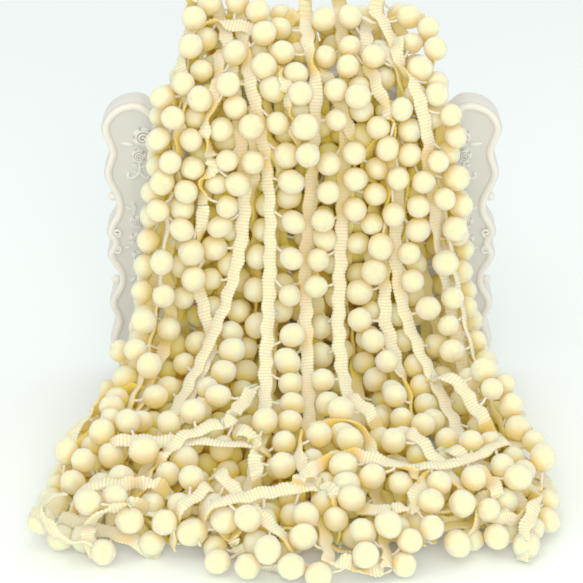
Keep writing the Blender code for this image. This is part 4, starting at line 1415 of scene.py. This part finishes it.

# %% [markdown]
# ### Woven ribs
# The ribs themselves are geometry.  This group adds what is finer: a mask of the groove
# between two ribs, which the tape uses to paint shade into the groove, and the warp ends that
# cross them.  It reads the count of ribs along the tape and the place across it, which the
# mesh keeps for every point.

# %% Woven rib group
def woven_ribs():
    """Grooves between the ribs and the fine warp ends that cross them."""
    group, given, made = new_group(
        "Woven ribs", [("Warp ends", 15.0), ("Warp depth", 0.35)],
        [("Groove", "NodeSocketFloat"), ("Height", "NodeSocketFloat")])
    ribs = add(group, "ShaderNodeAttribute", attribute_name="ribs")
    across = add(group, "ShaderNodeAttribute", attribute_name="across")
    phase = add(group, "ShaderNodeMath", [(1, 2 * math.pi)], operation="MULTIPLY")
    wave = add(group, "ShaderNodeMath", operation="COSINE")
    groove = add(group, "ShaderNodeMapRange", [("From Min", 0.1), ("From Max", 1.0)])
    ends = add(group, "ShaderNodeMath", operation="MULTIPLY")
    ends_wave = add(group, "ShaderNodeMath", operation="SINE")
    warp = add(group, "ShaderNodeMath", operation="MULTIPLY")
    height = add(group, "ShaderNodeMath", operation="SUBTRACT")
    link(group, ribs.outputs["Fac"], phase.inputs[0])
    link(group, phase.outputs[0], wave.inputs[0])
    link(group, wave.outputs[0], groove.inputs["Value"])
    link(group, across.outputs["Fac"], ends.inputs[0])
    link(group, given.outputs["Warp ends"], ends.inputs[1])
    link(group, ends.outputs[0], ends_wave.inputs[0])
    link(group, ends_wave.outputs[0], warp.inputs[0])
    link(group, given.outputs["Warp depth"], warp.inputs[1])
    link(group, warp.outputs[0], height.inputs[0])
    link(group, groove.outputs[0], height.inputs[1])
    link(group, groove.outputs[0], made.inputs["Groove"])
    link(group, height.outputs[0], made.inputs["Height"])
    return group


WOVEN_RIBS = woven_ribs()
print("node groups:", [group.name for group in bpy.data.node_groups])

# %% [markdown]
# ## Wool, tape and thread
# Light goes a little way into wool and comes out warmer, which is why the gaps between the
# balls glow golden.  A saturated base colour with subsurface scattering does part of the
# same: each bounce takes out more blue.  The rest is painted golden shade: the base colour
# turns golden where the layout counted close neighbours.  A soft sheen stands for the fluff
# that is too fine to model.

# %% What the materials share
SCATTER_WARM = (1.0, 0.62, 0.22)
SHEEN_ROUGHNESS = 0.6
DRY_SPECULAR = 0.2


def new_material(name, roughness, scatter, scatter_mm, sheen):
    """A material with the constant values on its shader's own sockets."""
    material = bpy.data.materials.new(name)
    material.use_nodes = True
    tree = material.node_tree
    shader = tree.nodes["Principled BSDF"]
    shader.inputs["Roughness"].default_value = roughness
    shader.inputs["Subsurface Weight"].default_value = scatter
    shader.inputs["Subsurface Radius"].default_value = SCATTER_WARM
    shader.inputs["Subsurface Scale"].default_value = scatter_mm * MM
    shader.inputs["Sheen Weight"].default_value = sheen
    shader.inputs["Sheen Roughness"].default_value = SHEEN_ROUGHNESS
    shader.inputs["Specular IOR Level"].default_value = DRY_SPECULAR
    return material, tree, shader


def use_group(tree, group, values=()):
    """A shared node group placed in a material with that material's own values."""
    node = add(tree, "ShaderNodeGroup")
    node.node_tree = group
    for key, value in values:
        node.inputs[key].default_value = value
    return node


def mix_colour(tree, factor, first, second):
    """A colour between two, or between a colour and a linked socket."""
    node = add(tree, "ShaderNodeMix", data_type="RGBA")
    link(tree, factor, node.inputs["Factor"])
    for socket, value in ((node.inputs["A"], first), (node.inputs["B"], second)):
        if isinstance(value, tuple):
            socket.default_value = value
        else:
            link(tree, value, socket)
    return node.outputs["Result"]


def bump(tree, shader, height, distance_mm, strength):
    """Relief from a height, through the shader's own Normal socket."""
    node = add(tree, "ShaderNodeBump", [("Distance", distance_mm * MM), ("Strength", strength)])
    link(tree, height, node.inputs["Height"])
    link(tree, node.outputs["Normal"], shader.inputs["Normal"])


def painted_shade_mask(tree, lowest, highest):
    """How much painted golden shade a place gets, from the crowding that the layout counted."""
    deep = add(tree, "ShaderNodeAttribute", attribute_name="deep")
    level = add(tree, "ShaderNodeMapRange", [("From Min", lowest), ("From Max", highest)])
    link(tree, deep.outputs["Fac"], level.inputs["Value"])
    return level.outputs[0]


print("scatter, red to blue:", SCATTER_WARM)

# %% Felted wool
WOOL_PALE = (0.98, 0.895, 0.53, 1.0)
# The golden end of the wool: painted shade where balls are crowded, and the far end of the random
# tone.
WOOL_GOLD_TONE_AND_PAINTED_SHADE = (1.0, 0.63, 0.05, 1.0)
PATCH_SHARE = 0.25
BALL_SHARE = 0.12
PALE_HELD = -0.18


def wool_material():
    """Pale in the open and painted golden shade in the heap, with soft patches and a tone per ball.
    """
    material, tree, shader = new_material("Felted wool", 0.95, 1.0, 5.0, 0.25)
    grain = use_group(tree, FIBRE_GRAIN, [("Scale", 2300.0), ("Patch scale", 330.0)])
    shade = add(tree, "ShaderNodeAttribute", attribute_name="shade")
    patch = add(tree, "ShaderNodeMath", [(1, PATCH_SHARE)], operation="MULTIPLY")
    both = add(tree, "ShaderNodeMath", [(1, BALL_SHARE)], operation="MULTIPLY_ADD")
    level = add(tree, "ShaderNodeMath", [(1, PALE_HELD)], operation="ADD", use_clamp=True)
    total = add(tree, "ShaderNodeMath", operation="ADD", use_clamp=True)
    link(tree, grain.outputs["Patches"], patch.inputs[0])
    link(tree, shade.outputs["Fac"], both.inputs[0])
    link(tree, patch.outputs[0], both.inputs[2])
    link(tree, both.outputs[0], level.inputs[0])
    link(tree, level.outputs[0], total.inputs[0])
    # Crowded places get painted golden shade.
    link(tree, painted_shade_mask(tree, 0.25, 0.85), total.inputs[1])
    link(tree, mix_colour(tree, total.outputs[0], WOOL_PALE, WOOL_GOLD_TONE_AND_PAINTED_SHADE),
         shader.inputs["Base Color"])
    bump(tree, shader, grain.outputs["Fibres"], 0.22, 0.6)
    return material


WOOL = wool_material()
print("nodes in the wool:", len(WOOL.node_tree.nodes))

# %% Ribbed tape
TAPE_PALE = (0.98, 0.905, 0.55, 1.0)
# Painted golden shade for the crowded places of the tape.
TAPE_PAINTED_GAP_SHADE = (1.0, 0.63, 0.05, 1.0)
# Painted shade in the grooves between the ribs.
TAPE_PAINTED_GROOVE_SHADE = (0.92, 0.78, 0.38, 1.0)
FIBRE_SHARE = 0.5


def tape_material():
    """Grooves painted a tone darker than the ribs as shade, crowded places painted golden shade,
    and fibres on both.
    """
    material, tree, shader = new_material("Ribbed tape", 0.85, 1.0, 0.7, 0.15)
    ribs = use_group(tree, WOVEN_RIBS)
    grain = use_group(tree, FIBRE_GRAIN, [("Scale", 3400.0), ("Patch scale", 120.0)])
    # Grooves get painted shade, and crowded places get painted golden shade.
    woven = mix_colour(tree, ribs.outputs["Groove"], TAPE_PALE, TAPE_PAINTED_GROOVE_SHADE)
    link(tree, mix_colour(tree, painted_shade_mask(tree, 0.3, 0.9), woven, TAPE_PAINTED_GAP_SHADE),
         shader.inputs["Base Color"])
    total = add(tree, "ShaderNodeMath", [(1, FIBRE_SHARE)], operation="MULTIPLY_ADD")
    link(tree, grain.outputs["Fibres"], total.inputs[0])
    link(tree, ribs.outputs["Height"], total.inputs[2])
    bump(tree, shader, total.outputs[0], 0.15, 0.7)
    return material


TAPE = tape_material()
print("nodes in the tape:", len(TAPE.node_tree.nodes))

# %% Twisted thread
THREAD_PALE = (0.94, 0.87, 0.62, 1.0)
THREAD_DEEP = (0.88, 0.76, 0.46, 1.0)


def thread_material():
    material, tree, shader = new_material("Twisted thread", 0.9, 1.0, 0.5, 0.15)
    grain = use_group(tree, FIBRE_GRAIN, [("Scale", 4200.0), ("Patch scale", 900.0)])
    link(tree, mix_colour(tree, grain.outputs["Patches"], THREAD_PALE, THREAD_DEEP),
         shader.inputs["Base Color"])
    bump(tree, shader, grain.outputs["Fibres"], 0.1, 0.6)
    return material


THREAD = thread_material()
for tape in tapes:
    tape.data.materials.append(TAPE)
for piece in ball_pieces:
    piece.data.materials[0] = WOOL
    piece.data.materials[1] = THREAD
print("materials:", [material.name for material in (WOOL, TAPE, THREAD)])

# %% [markdown]
# ## The plaque
# The plaque is cast resin, carved as a cartouche: a lobed outline with a rounded moulding
# along it, and sprays of roses on its two sides.  The body is a filled curve with a
# rounded edge.  The moulding, the stems and the petals are all one idea: a tube with its own
# radius at every point, swept along a path that lies on the face.

# %% Plaque body
BODY_FRONT = -5.4 * MM
BODY_BACK = 7.0 * MM
BODY_EDGE = 1.1 * MM
PALE_LEVEL, FIELD_LEVEL, DIP_LEVEL = 0.0, 0.35, 1.0
PLAQUE_SIDE = [
    # x, z: the right side, from under the lobe down to the foot
    (76.0, 99.0), (78.6, 90.0), (74.0, 76.0), (78.4, 64.0), (75.6, 60.0), (78.4, 56.0),
    (74.0, 44.0), (78.2, 34.0), (75.6, 25.5), (78.4, 15.0), (72.5, 4.0), (66.0, 0.0),
]
SHARP_AT = {(57.0, 115.5), (76.0, 99.0), (75.6, 60.0), (75.6, 25.5), (66.0, 0.0)}
PLAQUE_EDGE = [(x, z, "VECTOR" if (x, z) in SHARP_AT else "AUTO")
               for x, z in PLAQUE_CREST + PLAQUE_SIDE]


def plaque_outline():
    """The whole outline as an upright filled curve object, rounded along its edges."""
    left = [(-x, z, kind) for x, z, kind in reversed(PLAQUE_EDGE) if x > 0]
    curve = bpy.data.curves.new("plaque_outline", "CURVE")
    curve.dimensions = "2D"
    curve.fill_mode = "BOTH"
    curve.offset = -BODY_EDGE
    curve.bevel_depth = BODY_EDGE
    curve.bevel_resolution = 2
    curve.extrude = (BODY_BACK - BODY_FRONT) / 2 - BODY_EDGE
    spline = curve.splines.new("BEZIER")
    spline.use_cyclic_u = True
    spline.resolution_u = 8
    spline.bezier_points.add(len(PLAQUE_EDGE) + len(left) - 1)
    for point, (x, z, kind) in zip(spline.bezier_points, PLAQUE_EDGE + left):
        point.co = (x * MM, z * MM, 0.0)
        point.handle_left_type = kind
        point.handle_right_type = kind
    return bpy.data.objects.new("plaque_outline", curve)


def evaluated_mesh(obj):
    """Points and faces of a curve object, stood upright in the plaque's place."""
    bpy.context.scene.collection.objects.link(obj)
    bpy.context.view_layer.update()
    mesh = bpy.data.meshes.new_from_object(obj.evaluated_get(bpy.context.evaluated_depsgraph_get()))
    flat = np.array([vert.co for vert in mesh.vertices])
    faces = [tuple(poly.vertices) for poly in mesh.polygons]
    edges = [tuple(edge.vertices) for edge in mesh.edges]
    bpy.data.objects.remove(obj)
    middle = (BODY_FRONT + BODY_BACK) / 2
    return np.column_stack([flat[:, 0], middle - flat[:, 2], flat[:, 1]]), faces, edges


def outline_path(spacing):
    """Evenly spaced points of the outline itself, all the way round."""
    obj = plaque_outline()
    obj.data.fill_mode, obj.data.offset, obj.data.bevel_depth, obj.data.extrude = "NONE", 0, 0, 0
    points, faces, edges = evaluated_mesh(obj)
    points = points[:len(edges)]
    points = np.vstack([points, points[:1]])
    reach = np.append(0.0, np.cumsum(np.linalg.norm(np.diff(points, axis=0), axis=1)))
    places = np.arange(0.0, reach[-1], spacing)
    return np.column_stack([np.interp(places, reach, points[:, k]) for k in range(3)])


body_points, body_faces = evaluated_mesh(plaque_outline())[:2]
OUTLINE = outline_path(0.8 * MM)
print("plaque body faces:", len(body_faces), "outline points:", len(OUTLINE))

# %% [markdown]
# ### Mouldings and roses
# The rounded moulding follows the outline a little way in.  A rose is a dome with five outer
# petals and one long petal edge that winds up to the middle, which is how a carver cuts a
# small rose.  Stems are thin tubes and leaves are pebbles pressed into the face.  Each point
# keeps a level, from the pale high places to the darker dips.

# %% Where the carving lies
ROSES = [
    # x, z, radius on the right side of the plaque; the left side mirrors it
    (62.6, 106.0, 4.2), (64.5, 98.0, 3.1), (66.1, 69.5, 2.9), (66.7, 61.9, 3.0),
    (65.8, 54.3, 2.9), (65.0, 48.0, 3.0),
]
STEMS = [
    # thickness, then x, z of the points
    (0.7, (64.5, 95.2), (64.2, 91.6), (65.9, 89.2), (68.3, 88.5), (69.2, 90.0), (68.2, 90.9)),
    (0.6, (64.4, 92.0), (63.0, 89.5), (61.2, 88.6), (60.6, 90.0)),
    (0.6, (66.8, 72.8), (67.4, 75.0), (67.0, 78.0)),
    (0.7, (65.0, 45.0), (63.4, 41.5), (62.6, 39.6), (64.0, 38.2)),
    (0.6, (66.0, 30.0), (68.6, 28.0), (68.2, 25.2), (66.2, 25.4)),
    (0.6, (65.2, 20.4), (67.8, 18.8), (67.6, 15.4), (65.6, 15.6)),
]
LEAVES = [
    # x, z, length, width, angle in degrees
    (68.9, 102.9, 5.4, 2.0, 10.0), (57.6, 110.8, 4.6, 1.8, 125.0), (58.6, 101.0, 4.0, 2.0, 215.0),
    (66.2, 94.0, 2.6, 1.2, 20.0), (62.7, 93.4, 2.4, 1.2, 160.0), (65.8, 91.0, 2.2, 1.0, 40.0),
    (60.8, 85.4, 3.4, 1.5, 200.0), (66.9, 76.2, 5.6, 1.7, 80.0), (69.2, 75.4, 3.2, 1.3, 30.0),
    (70.2, 58.2, 2.6, 1.2, 0.0), (62.2, 58.0, 2.8, 1.3, 180.0), (68.4, 44.0, 3.2, 1.4, 310.0),
    (61.4, 36.6, 3.6, 1.6, 230.0), (68.2, 37.8, 3.2, 1.4, 330.0), (65.2, 26.8, 3.4, 1.6, 100.0),
]
KNOBS = [(75.6, 80.2, 1.8), (75.4, 43.6, 1.9)]
VOLUTES = [
    # x, z, radius, and 1 where it curls upwards
    (74.2, 65.0, 1.7, -1), (74.3, 57.4, 1.7, 1),
]
print("carved pieces on each side:", sum(map(len, (ROSES, STEMS, LEAVES, KNOBS, VOLUTES))))

# %% Carving tools
TOWARDS_ROOM = np.array([0.0, -1.0, 0.0])
TUBE_CORNERS = 6


def face_tube(parts, path, radii, corners, level, closed=False):
    """Add a tube on the plaque's face to parts: a list of points, faces and levels."""
    points, faces, levels = parts
    ahead = np.roll(path, -1, axis=0) if closed else np.vstack([path[1:], path[-1:]])
    behind = np.roll(path, 1, axis=0) if closed else np.vstack([path[:1], path[:-1]])
    across = unit(np.cross(unit(ahead - behind), TOWARDS_ROOM))
    first = len(points)
    for k in range(corners):
        angle = 2 * math.pi * k / corners
        ring = across * math.cos(angle) + TOWARDS_ROOM * math.sin(angle)
        points += list(path + ring * np.asarray(radii)[:, None])
    count = len(path)
    for k in range(corners):
        a, b = first + k * count, first + (k + 1) % corners * count
        faces += [(a + i, a + i + 1, b + i + 1, b + i) for i in range(count - 1)]
        if closed:
            faces.append((a + count - 1, a, b, b + count - 1))
    if not closed:
        faces.append(tuple(first + k * count for k in range(corners)))
        faces.append(tuple(first + k * count + count - 1 for k in range(corners))[::-1])
    levels += [level] * (corners * count)


def pebble(parts, centre, radii, level, turn=0.0):
    """Add a squashed sphere, turned about the direction that faces the room."""
    points, faces, levels = parts
    bm = bmesh.new()
    bmesh.ops.create_uvsphere(bm, u_segments=14, v_segments=8, radius=1.0)
    shape = np.array([vert.co for vert in bm.verts])[:, [0, 2, 1]] * np.asarray(radii)
    spin = np.array([[math.cos(turn), 0, -math.sin(turn)], [0, 1, 0],
                     [math.sin(turn), 0, math.cos(turn)]])
    first = len(points)
    points += list(shape @ spin.T + centre)
    # The operator lists its faces in no fixed order, so they are sorted.
    faces += sorted(tuple(vert.index + first for vert in face.verts) for face in bm.faces)
    levels += [level] * len(shape)
    bm.free()


def on_face(x, z, lift=0.0):
    """A place on the plaque's face, lifted off it, from millimetres."""
    return np.array([x * MM, BODY_FRONT - lift * MM, z * MM])


print("face of the plaque at y mm:", round(BODY_FRONT / MM, 1))

# %% A rose
PETALS = 5
PETAL_OUT = 0.7
PETAL_RADII = np.array([0.34, 0.3, 0.46])
PETAL_STEPS = 54
PETAL_TURNS = 2.4
ROSE_DOME = 0.5
ROSE_INNER = 0.95


def add_rose(parts, x, z, radius, spin):
    """A dome with outer petals and one long petal edge that winds up to the middle."""
    dome = ROSE_DOME * radius
    pebble(parts, on_face(x, z), np.array([radius, dome, radius]) * ROSE_INNER * MM, DIP_LEVEL)
    for k in range(PETALS):
        angle = 2 * math.pi * k / PETALS + spin
        out = PETAL_OUT * radius
        pebble(parts, on_face(x + out * math.cos(angle), z + out * math.sin(angle), 0.1 * radius),
               PETAL_RADII * radius * MM, PALE_LEVEL, angle)
    turns = np.linspace(0.0, 1.0, PETAL_STEPS)
    reach = radius * (0.78 - 0.7 * turns)
    angle = spin + 2 * math.pi * PETAL_TURNS * turns
    lift = dome * np.sqrt(1 - (reach / radius) ** 2) + 0.1 * radius
    path = np.column_stack([x + reach * np.cos(angle), -lift, z + reach * np.sin(angle)]) * MM
    path[:, 1] += BODY_FRONT
    face_tube(parts, path, (0.12 - 0.03 * turns) * radius * MM, TUBE_CORNERS, PALE_LEVEL)


print("outer petals of a rose:", PETALS)

# %% Carve the plaque
MOULDING_RADIUS = 1.5 * MM
MOULDING_INSET = 1.75 * MM
MOULDING_CORNERS = 10
CUSP_SOFTEN = 5
ROSE_SPIN = 1.3
STEM_LIFT = 0.2
STEM_SPACING = 0.35 * MM
LEAF_LIFT = 0.1
LEAF_THICK = 1.4
KNOB_SUNK = -1.0
VOLUTE_STEPS = 30
VOLUTE_TURNS = 1.2
VOLUTE_WIND = 0.75
VOLUTE_LIFT = 1.0
VOLUTE_THICK = 0.6 * MM


def volute(side, x, z, radius, way):
    """Points of a small scroll that winds inwards."""
    turns = np.linspace(0.0, 1.0, VOLUTE_STEPS)
    angle = way * (math.pi / 2 + 2 * math.pi * VOLUTE_TURNS * turns)
    reach = radius * (1.0 - VOLUTE_WIND * turns)
    return np.array([on_face(side * (x + r * math.cos(a)), z + r * math.sin(a), VOLUTE_LIFT)
                     for r, a in zip(reach, angle)])


def add_moulding(parts):
    """The rounded moulding that follows the outline, a little way in."""
    soft = OUTLINE.copy()
    for _ in range(CUSP_SOFTEN):
        soft = (np.roll(soft, 1, axis=0) + 2 * soft + np.roll(soft, -1, axis=0)) / 4
    inward = unit(np.cross(np.roll(soft, -1, axis=0) - np.roll(soft, 1, axis=0), TOWARDS_ROOM))
    centre = soft.mean(axis=0)
    inward *= np.sign(((centre - soft) * inward).sum())
    path = soft + inward * MOULDING_INSET
    path[:, 1] = BODY_FRONT
    path[:, 2] = np.maximum(path[:, 2], MOULDING_RADIUS)
    face_tube(parts, path, np.full(len(path), MOULDING_RADIUS), MOULDING_CORNERS, PALE_LEVEL, True)


def carve_plaque():
    """The body, its moulding, and the sprays of roses on both sides, as one piece."""
    points, faces = list(body_points), list(body_faces)
    flat_front = body_points[:, 1] < BODY_FRONT + BODY_EDGE / 2
    parts = (points, faces, list(np.where(flat_front, FIELD_LEVEL, FIELD_LEVEL / 3)))
    add_moulding(parts)
    for side in (1, -1):
        for number, (x, z, radius) in enumerate(ROSES):
            add_rose(parts, side * x, z, radius, ROSE_SPIN * number)
        for thick, *places in STEMS:
            path = smooth_path(np.array([on_face(side * x, z, STEM_LIFT) for x, z in places]),
                               STEM_SPACING)
            face_tube(parts, path, np.full(len(path), thick * MM), TUBE_CORNERS, PALE_LEVEL)
        for x, z, length, width, angle in LEAVES:
            pebble(parts, on_face(side * x, z, LEAF_LIFT),
                   np.array([length, LEAF_THICK, width]) * MM / 2, PALE_LEVEL,
                   math.radians(angle if side > 0 else 180.0 - angle))
        for x, z, radius in KNOBS:
            pebble(parts, on_face(side * x, z, KNOB_SUNK), np.full(3, radius * MM), PALE_LEVEL)
        for scroll in VOLUTES:
            curl = volute(side, *scroll)
            face_tube(parts, curl, np.full(len(curl), VOLUTE_THICK), TUBE_CORNERS, PALE_LEVEL)
    return new_object("carved_plaque", points, faces, [("level", parts[2])])


carved = carve_plaque()
print("carved plaque triangles:", sum(len(poly.vertices) - 2 for poly in carved.data.polygons))

# %% [markdown]
# ### Off-white resin
# Cast resin is satin and lets a little light in.  The level of each point mixes the three
# tones: the raised carving is pale, the flat face a tone darker, the hearts of the roses
# darkest, and the body's rounded edge, sides and back a little paler than the flat face.

# %% Plaque finish
RESIN_PALE = (0.82, 0.80, 0.69, 1.0)
RESIN_FIELD = (0.66, 0.65, 0.56, 1.0)
RESIN_DIP = (0.44, 0.39, 0.24, 1.0)
RESIN_SCATTER = (1.0, 0.9, 0.75)
RESIN_SPECULAR = 0.4


def resin_material():
    material, tree, shader = new_material("Satin cast resin", 0.38, 0.3, 1.2, 0.0)
    shader.inputs["Subsurface Radius"].default_value = RESIN_SCATTER
    shader.inputs["Specular IOR Level"].default_value = RESIN_SPECULAR
    grain = use_group(tree, FIBRE_GRAIN, [("Scale", 1500.0), ("Stretch", 0.5),
                                          ("Patch scale", 60.0)])
    level = add(tree, "ShaderNodeAttribute")
    level.attribute_name = "level"
    field = add(tree, "ShaderNodeMapRange", [("From Max", FIELD_LEVEL)])
    dips = add(tree, "ShaderNodeMapRange", [("From Min", FIELD_LEVEL), ("From Max", DIP_LEVEL)])
    link(tree, level.outputs["Fac"], field.inputs["Value"])
    link(tree, level.outputs["Fac"], dips.inputs["Value"])
    plain = mix_colour(tree, field.outputs[0], RESIN_PALE, RESIN_FIELD)
    link(tree, mix_colour(tree, dips.outputs[0], plain, RESIN_DIP), shader.inputs["Base Color"])
    rough = add(tree, "ShaderNodeMapRange", [("To Min", 0.32), ("To Max", 0.5)])
    link(tree, grain.outputs["Patches"], rough.inputs["Value"])
    link(tree, rough.outputs[0], shader.inputs["Roughness"])
    bump(tree, shader, grain.outputs["Fibres"], 0.03, 0.4)
    return material


RESIN = resin_material()
carved.data.materials.append(RESIN)
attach(carved, "root")
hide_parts("plaque")

# %% [markdown]
# ## The pieces on the body
# Every tape and every set of balls rides on the one body of the part.  A dressed run hides
# the imported solid that it replaces, and the lengths of all the tapes are added up.


def tape_length(run):
    """How long the run's tape is, measured along its middle."""
    return np.linalg.norm(np.diff(middle_line(lengthened(run)), axis=0), axis=1).sum()


total_length = 0.0
for run, tape, balls in zip(runs, tapes, ball_pieces):
    for piece in (tape, balls):
        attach(piece, "root")
    if "node" in run:
        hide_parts(run["node"])
        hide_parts(run["node"])
    length = tape_length(run)
    total_length += length
print("trim length m:", round(total_length, 2))

# %% [markdown]
# ## The table
# A pale satin table stands for the shop's counter.  It is one large square, kept off the
# part's body, so it isn't part of the object.

# %% Pale table
FLOOR_SIZE = 8.0
TABLE_COLOUR = (0.93, 0.99, 0.98, 1.0)
TABLE_ROUGHNESS = 0.6


def pale_floor():
    mesh = bpy.data.meshes.new("floor")
    half = FLOOR_SIZE / 2
    mesh.from_pydata([(-half, -half, 0), (half, -half, 0), (half, half, 0), (-half, half, 0)],
                     [], [(0, 1, 2, 3)])
    floor = bpy.data.objects.new("floor", mesh)
    bpy.context.scene.collection.objects.link(floor)
    material = bpy.data.materials.new("Pale table")
    material.use_nodes = True
    shader = material.node_tree.nodes["Principled BSDF"]
    shader.inputs["Base Color"].default_value = TABLE_COLOUR
    shader.inputs["Roughness"].default_value = TABLE_ROUGHNESS
    shader.inputs["Specular IOR Level"].default_value = DRY_SPECULAR
    mesh.materials.append(material)
    return floor


floor = pale_floor()
print("table m:", FLOOR_SIZE, "square")

# %% [markdown]
# ## Light and air
# Small trimmings are lit almost without shadows, so that every ball can be seen.  Three
# large soft lamps do that: the key lamp above and in front, on the left, gives the balls
# their roundness, one over the top lights the crest, and a low one in front reaches into
# the heap.  The white air around fills the rest.

# %% Lamps and air
LAMPS = [
    # name, place, the point that it faces, side of its square in metres, watts, colour
    ("key", (-0.35, -0.75, 1.35), (0.0, -0.05, 0.07), 0.9, 3.2, (1.0, 0.99, 0.96)),
    ("top", (0.25, 0.35, 1.3), (0.0, -0.02, 0.05), 0.8, 1.4, (1.0, 1.0, 1.0)),
    ("front", (0.1, -1.35, 0.6), (0.0, -0.05, 0.07), 0.7, 6.8, (1.0, 0.99, 0.97)),
]
AIR_COLOUR = (1.0, 1.0, 0.99, 1.0)
AIR_STRENGTH = 0.86


def soft_lamp(name, place, target, size, power, colour):
    data = bpy.data.lights.new(name, "AREA")
    data.shape = "SQUARE"
    data.size = size
    data.energy = power
    data.color = colour
    lamp = bpy.data.objects.new(name, data)
    lamp.location = place
    lamp.rotation_euler = (Vector(target) - Vector(place)).to_track_quat("-Z", "Y").to_euler()
    bpy.context.scene.collection.objects.link(lamp)


for lamp in LAMPS:
    soft_lamp(*lamp)
world = bpy.data.worlds.new("studio air")
world.use_nodes = True
sky = world.node_tree.nodes["Background"]
sky.inputs["Color"].default_value = AIR_COLOUR
sky.inputs["Strength"].default_value = AIR_STRENGTH
bpy.context.scene.world = world

# %% [markdown]
# ## A soft tone curve
# Cream on white needs gentle contrast.  Blender's Standard view shows colours as they are,
# and a curve on top of it opens the shadows between the balls and holds back the bright
# sides, as a print does.  The curve changes the picture only, so the materials keep their
# own colours.

# %% Tone curve
TONE_CURVE = [(0.13, 0.265), (0.32, 0.45), (0.6, 0.63), (0.9, 0.83)]
TONE_END = (1.0, 0.92)

view = bpy.context.scene.view_settings
view.view_transform = "Standard"
view.use_curve_mapping = True
all_channels = view.curve_mapping.curves[3]
for place, level in TONE_CURVE:
    all_channels.points.new(place, level)
all_channels.points[-1].location = TONE_END
view.curve_mapping.update()
print("tone curve points:", len(all_channels.points))
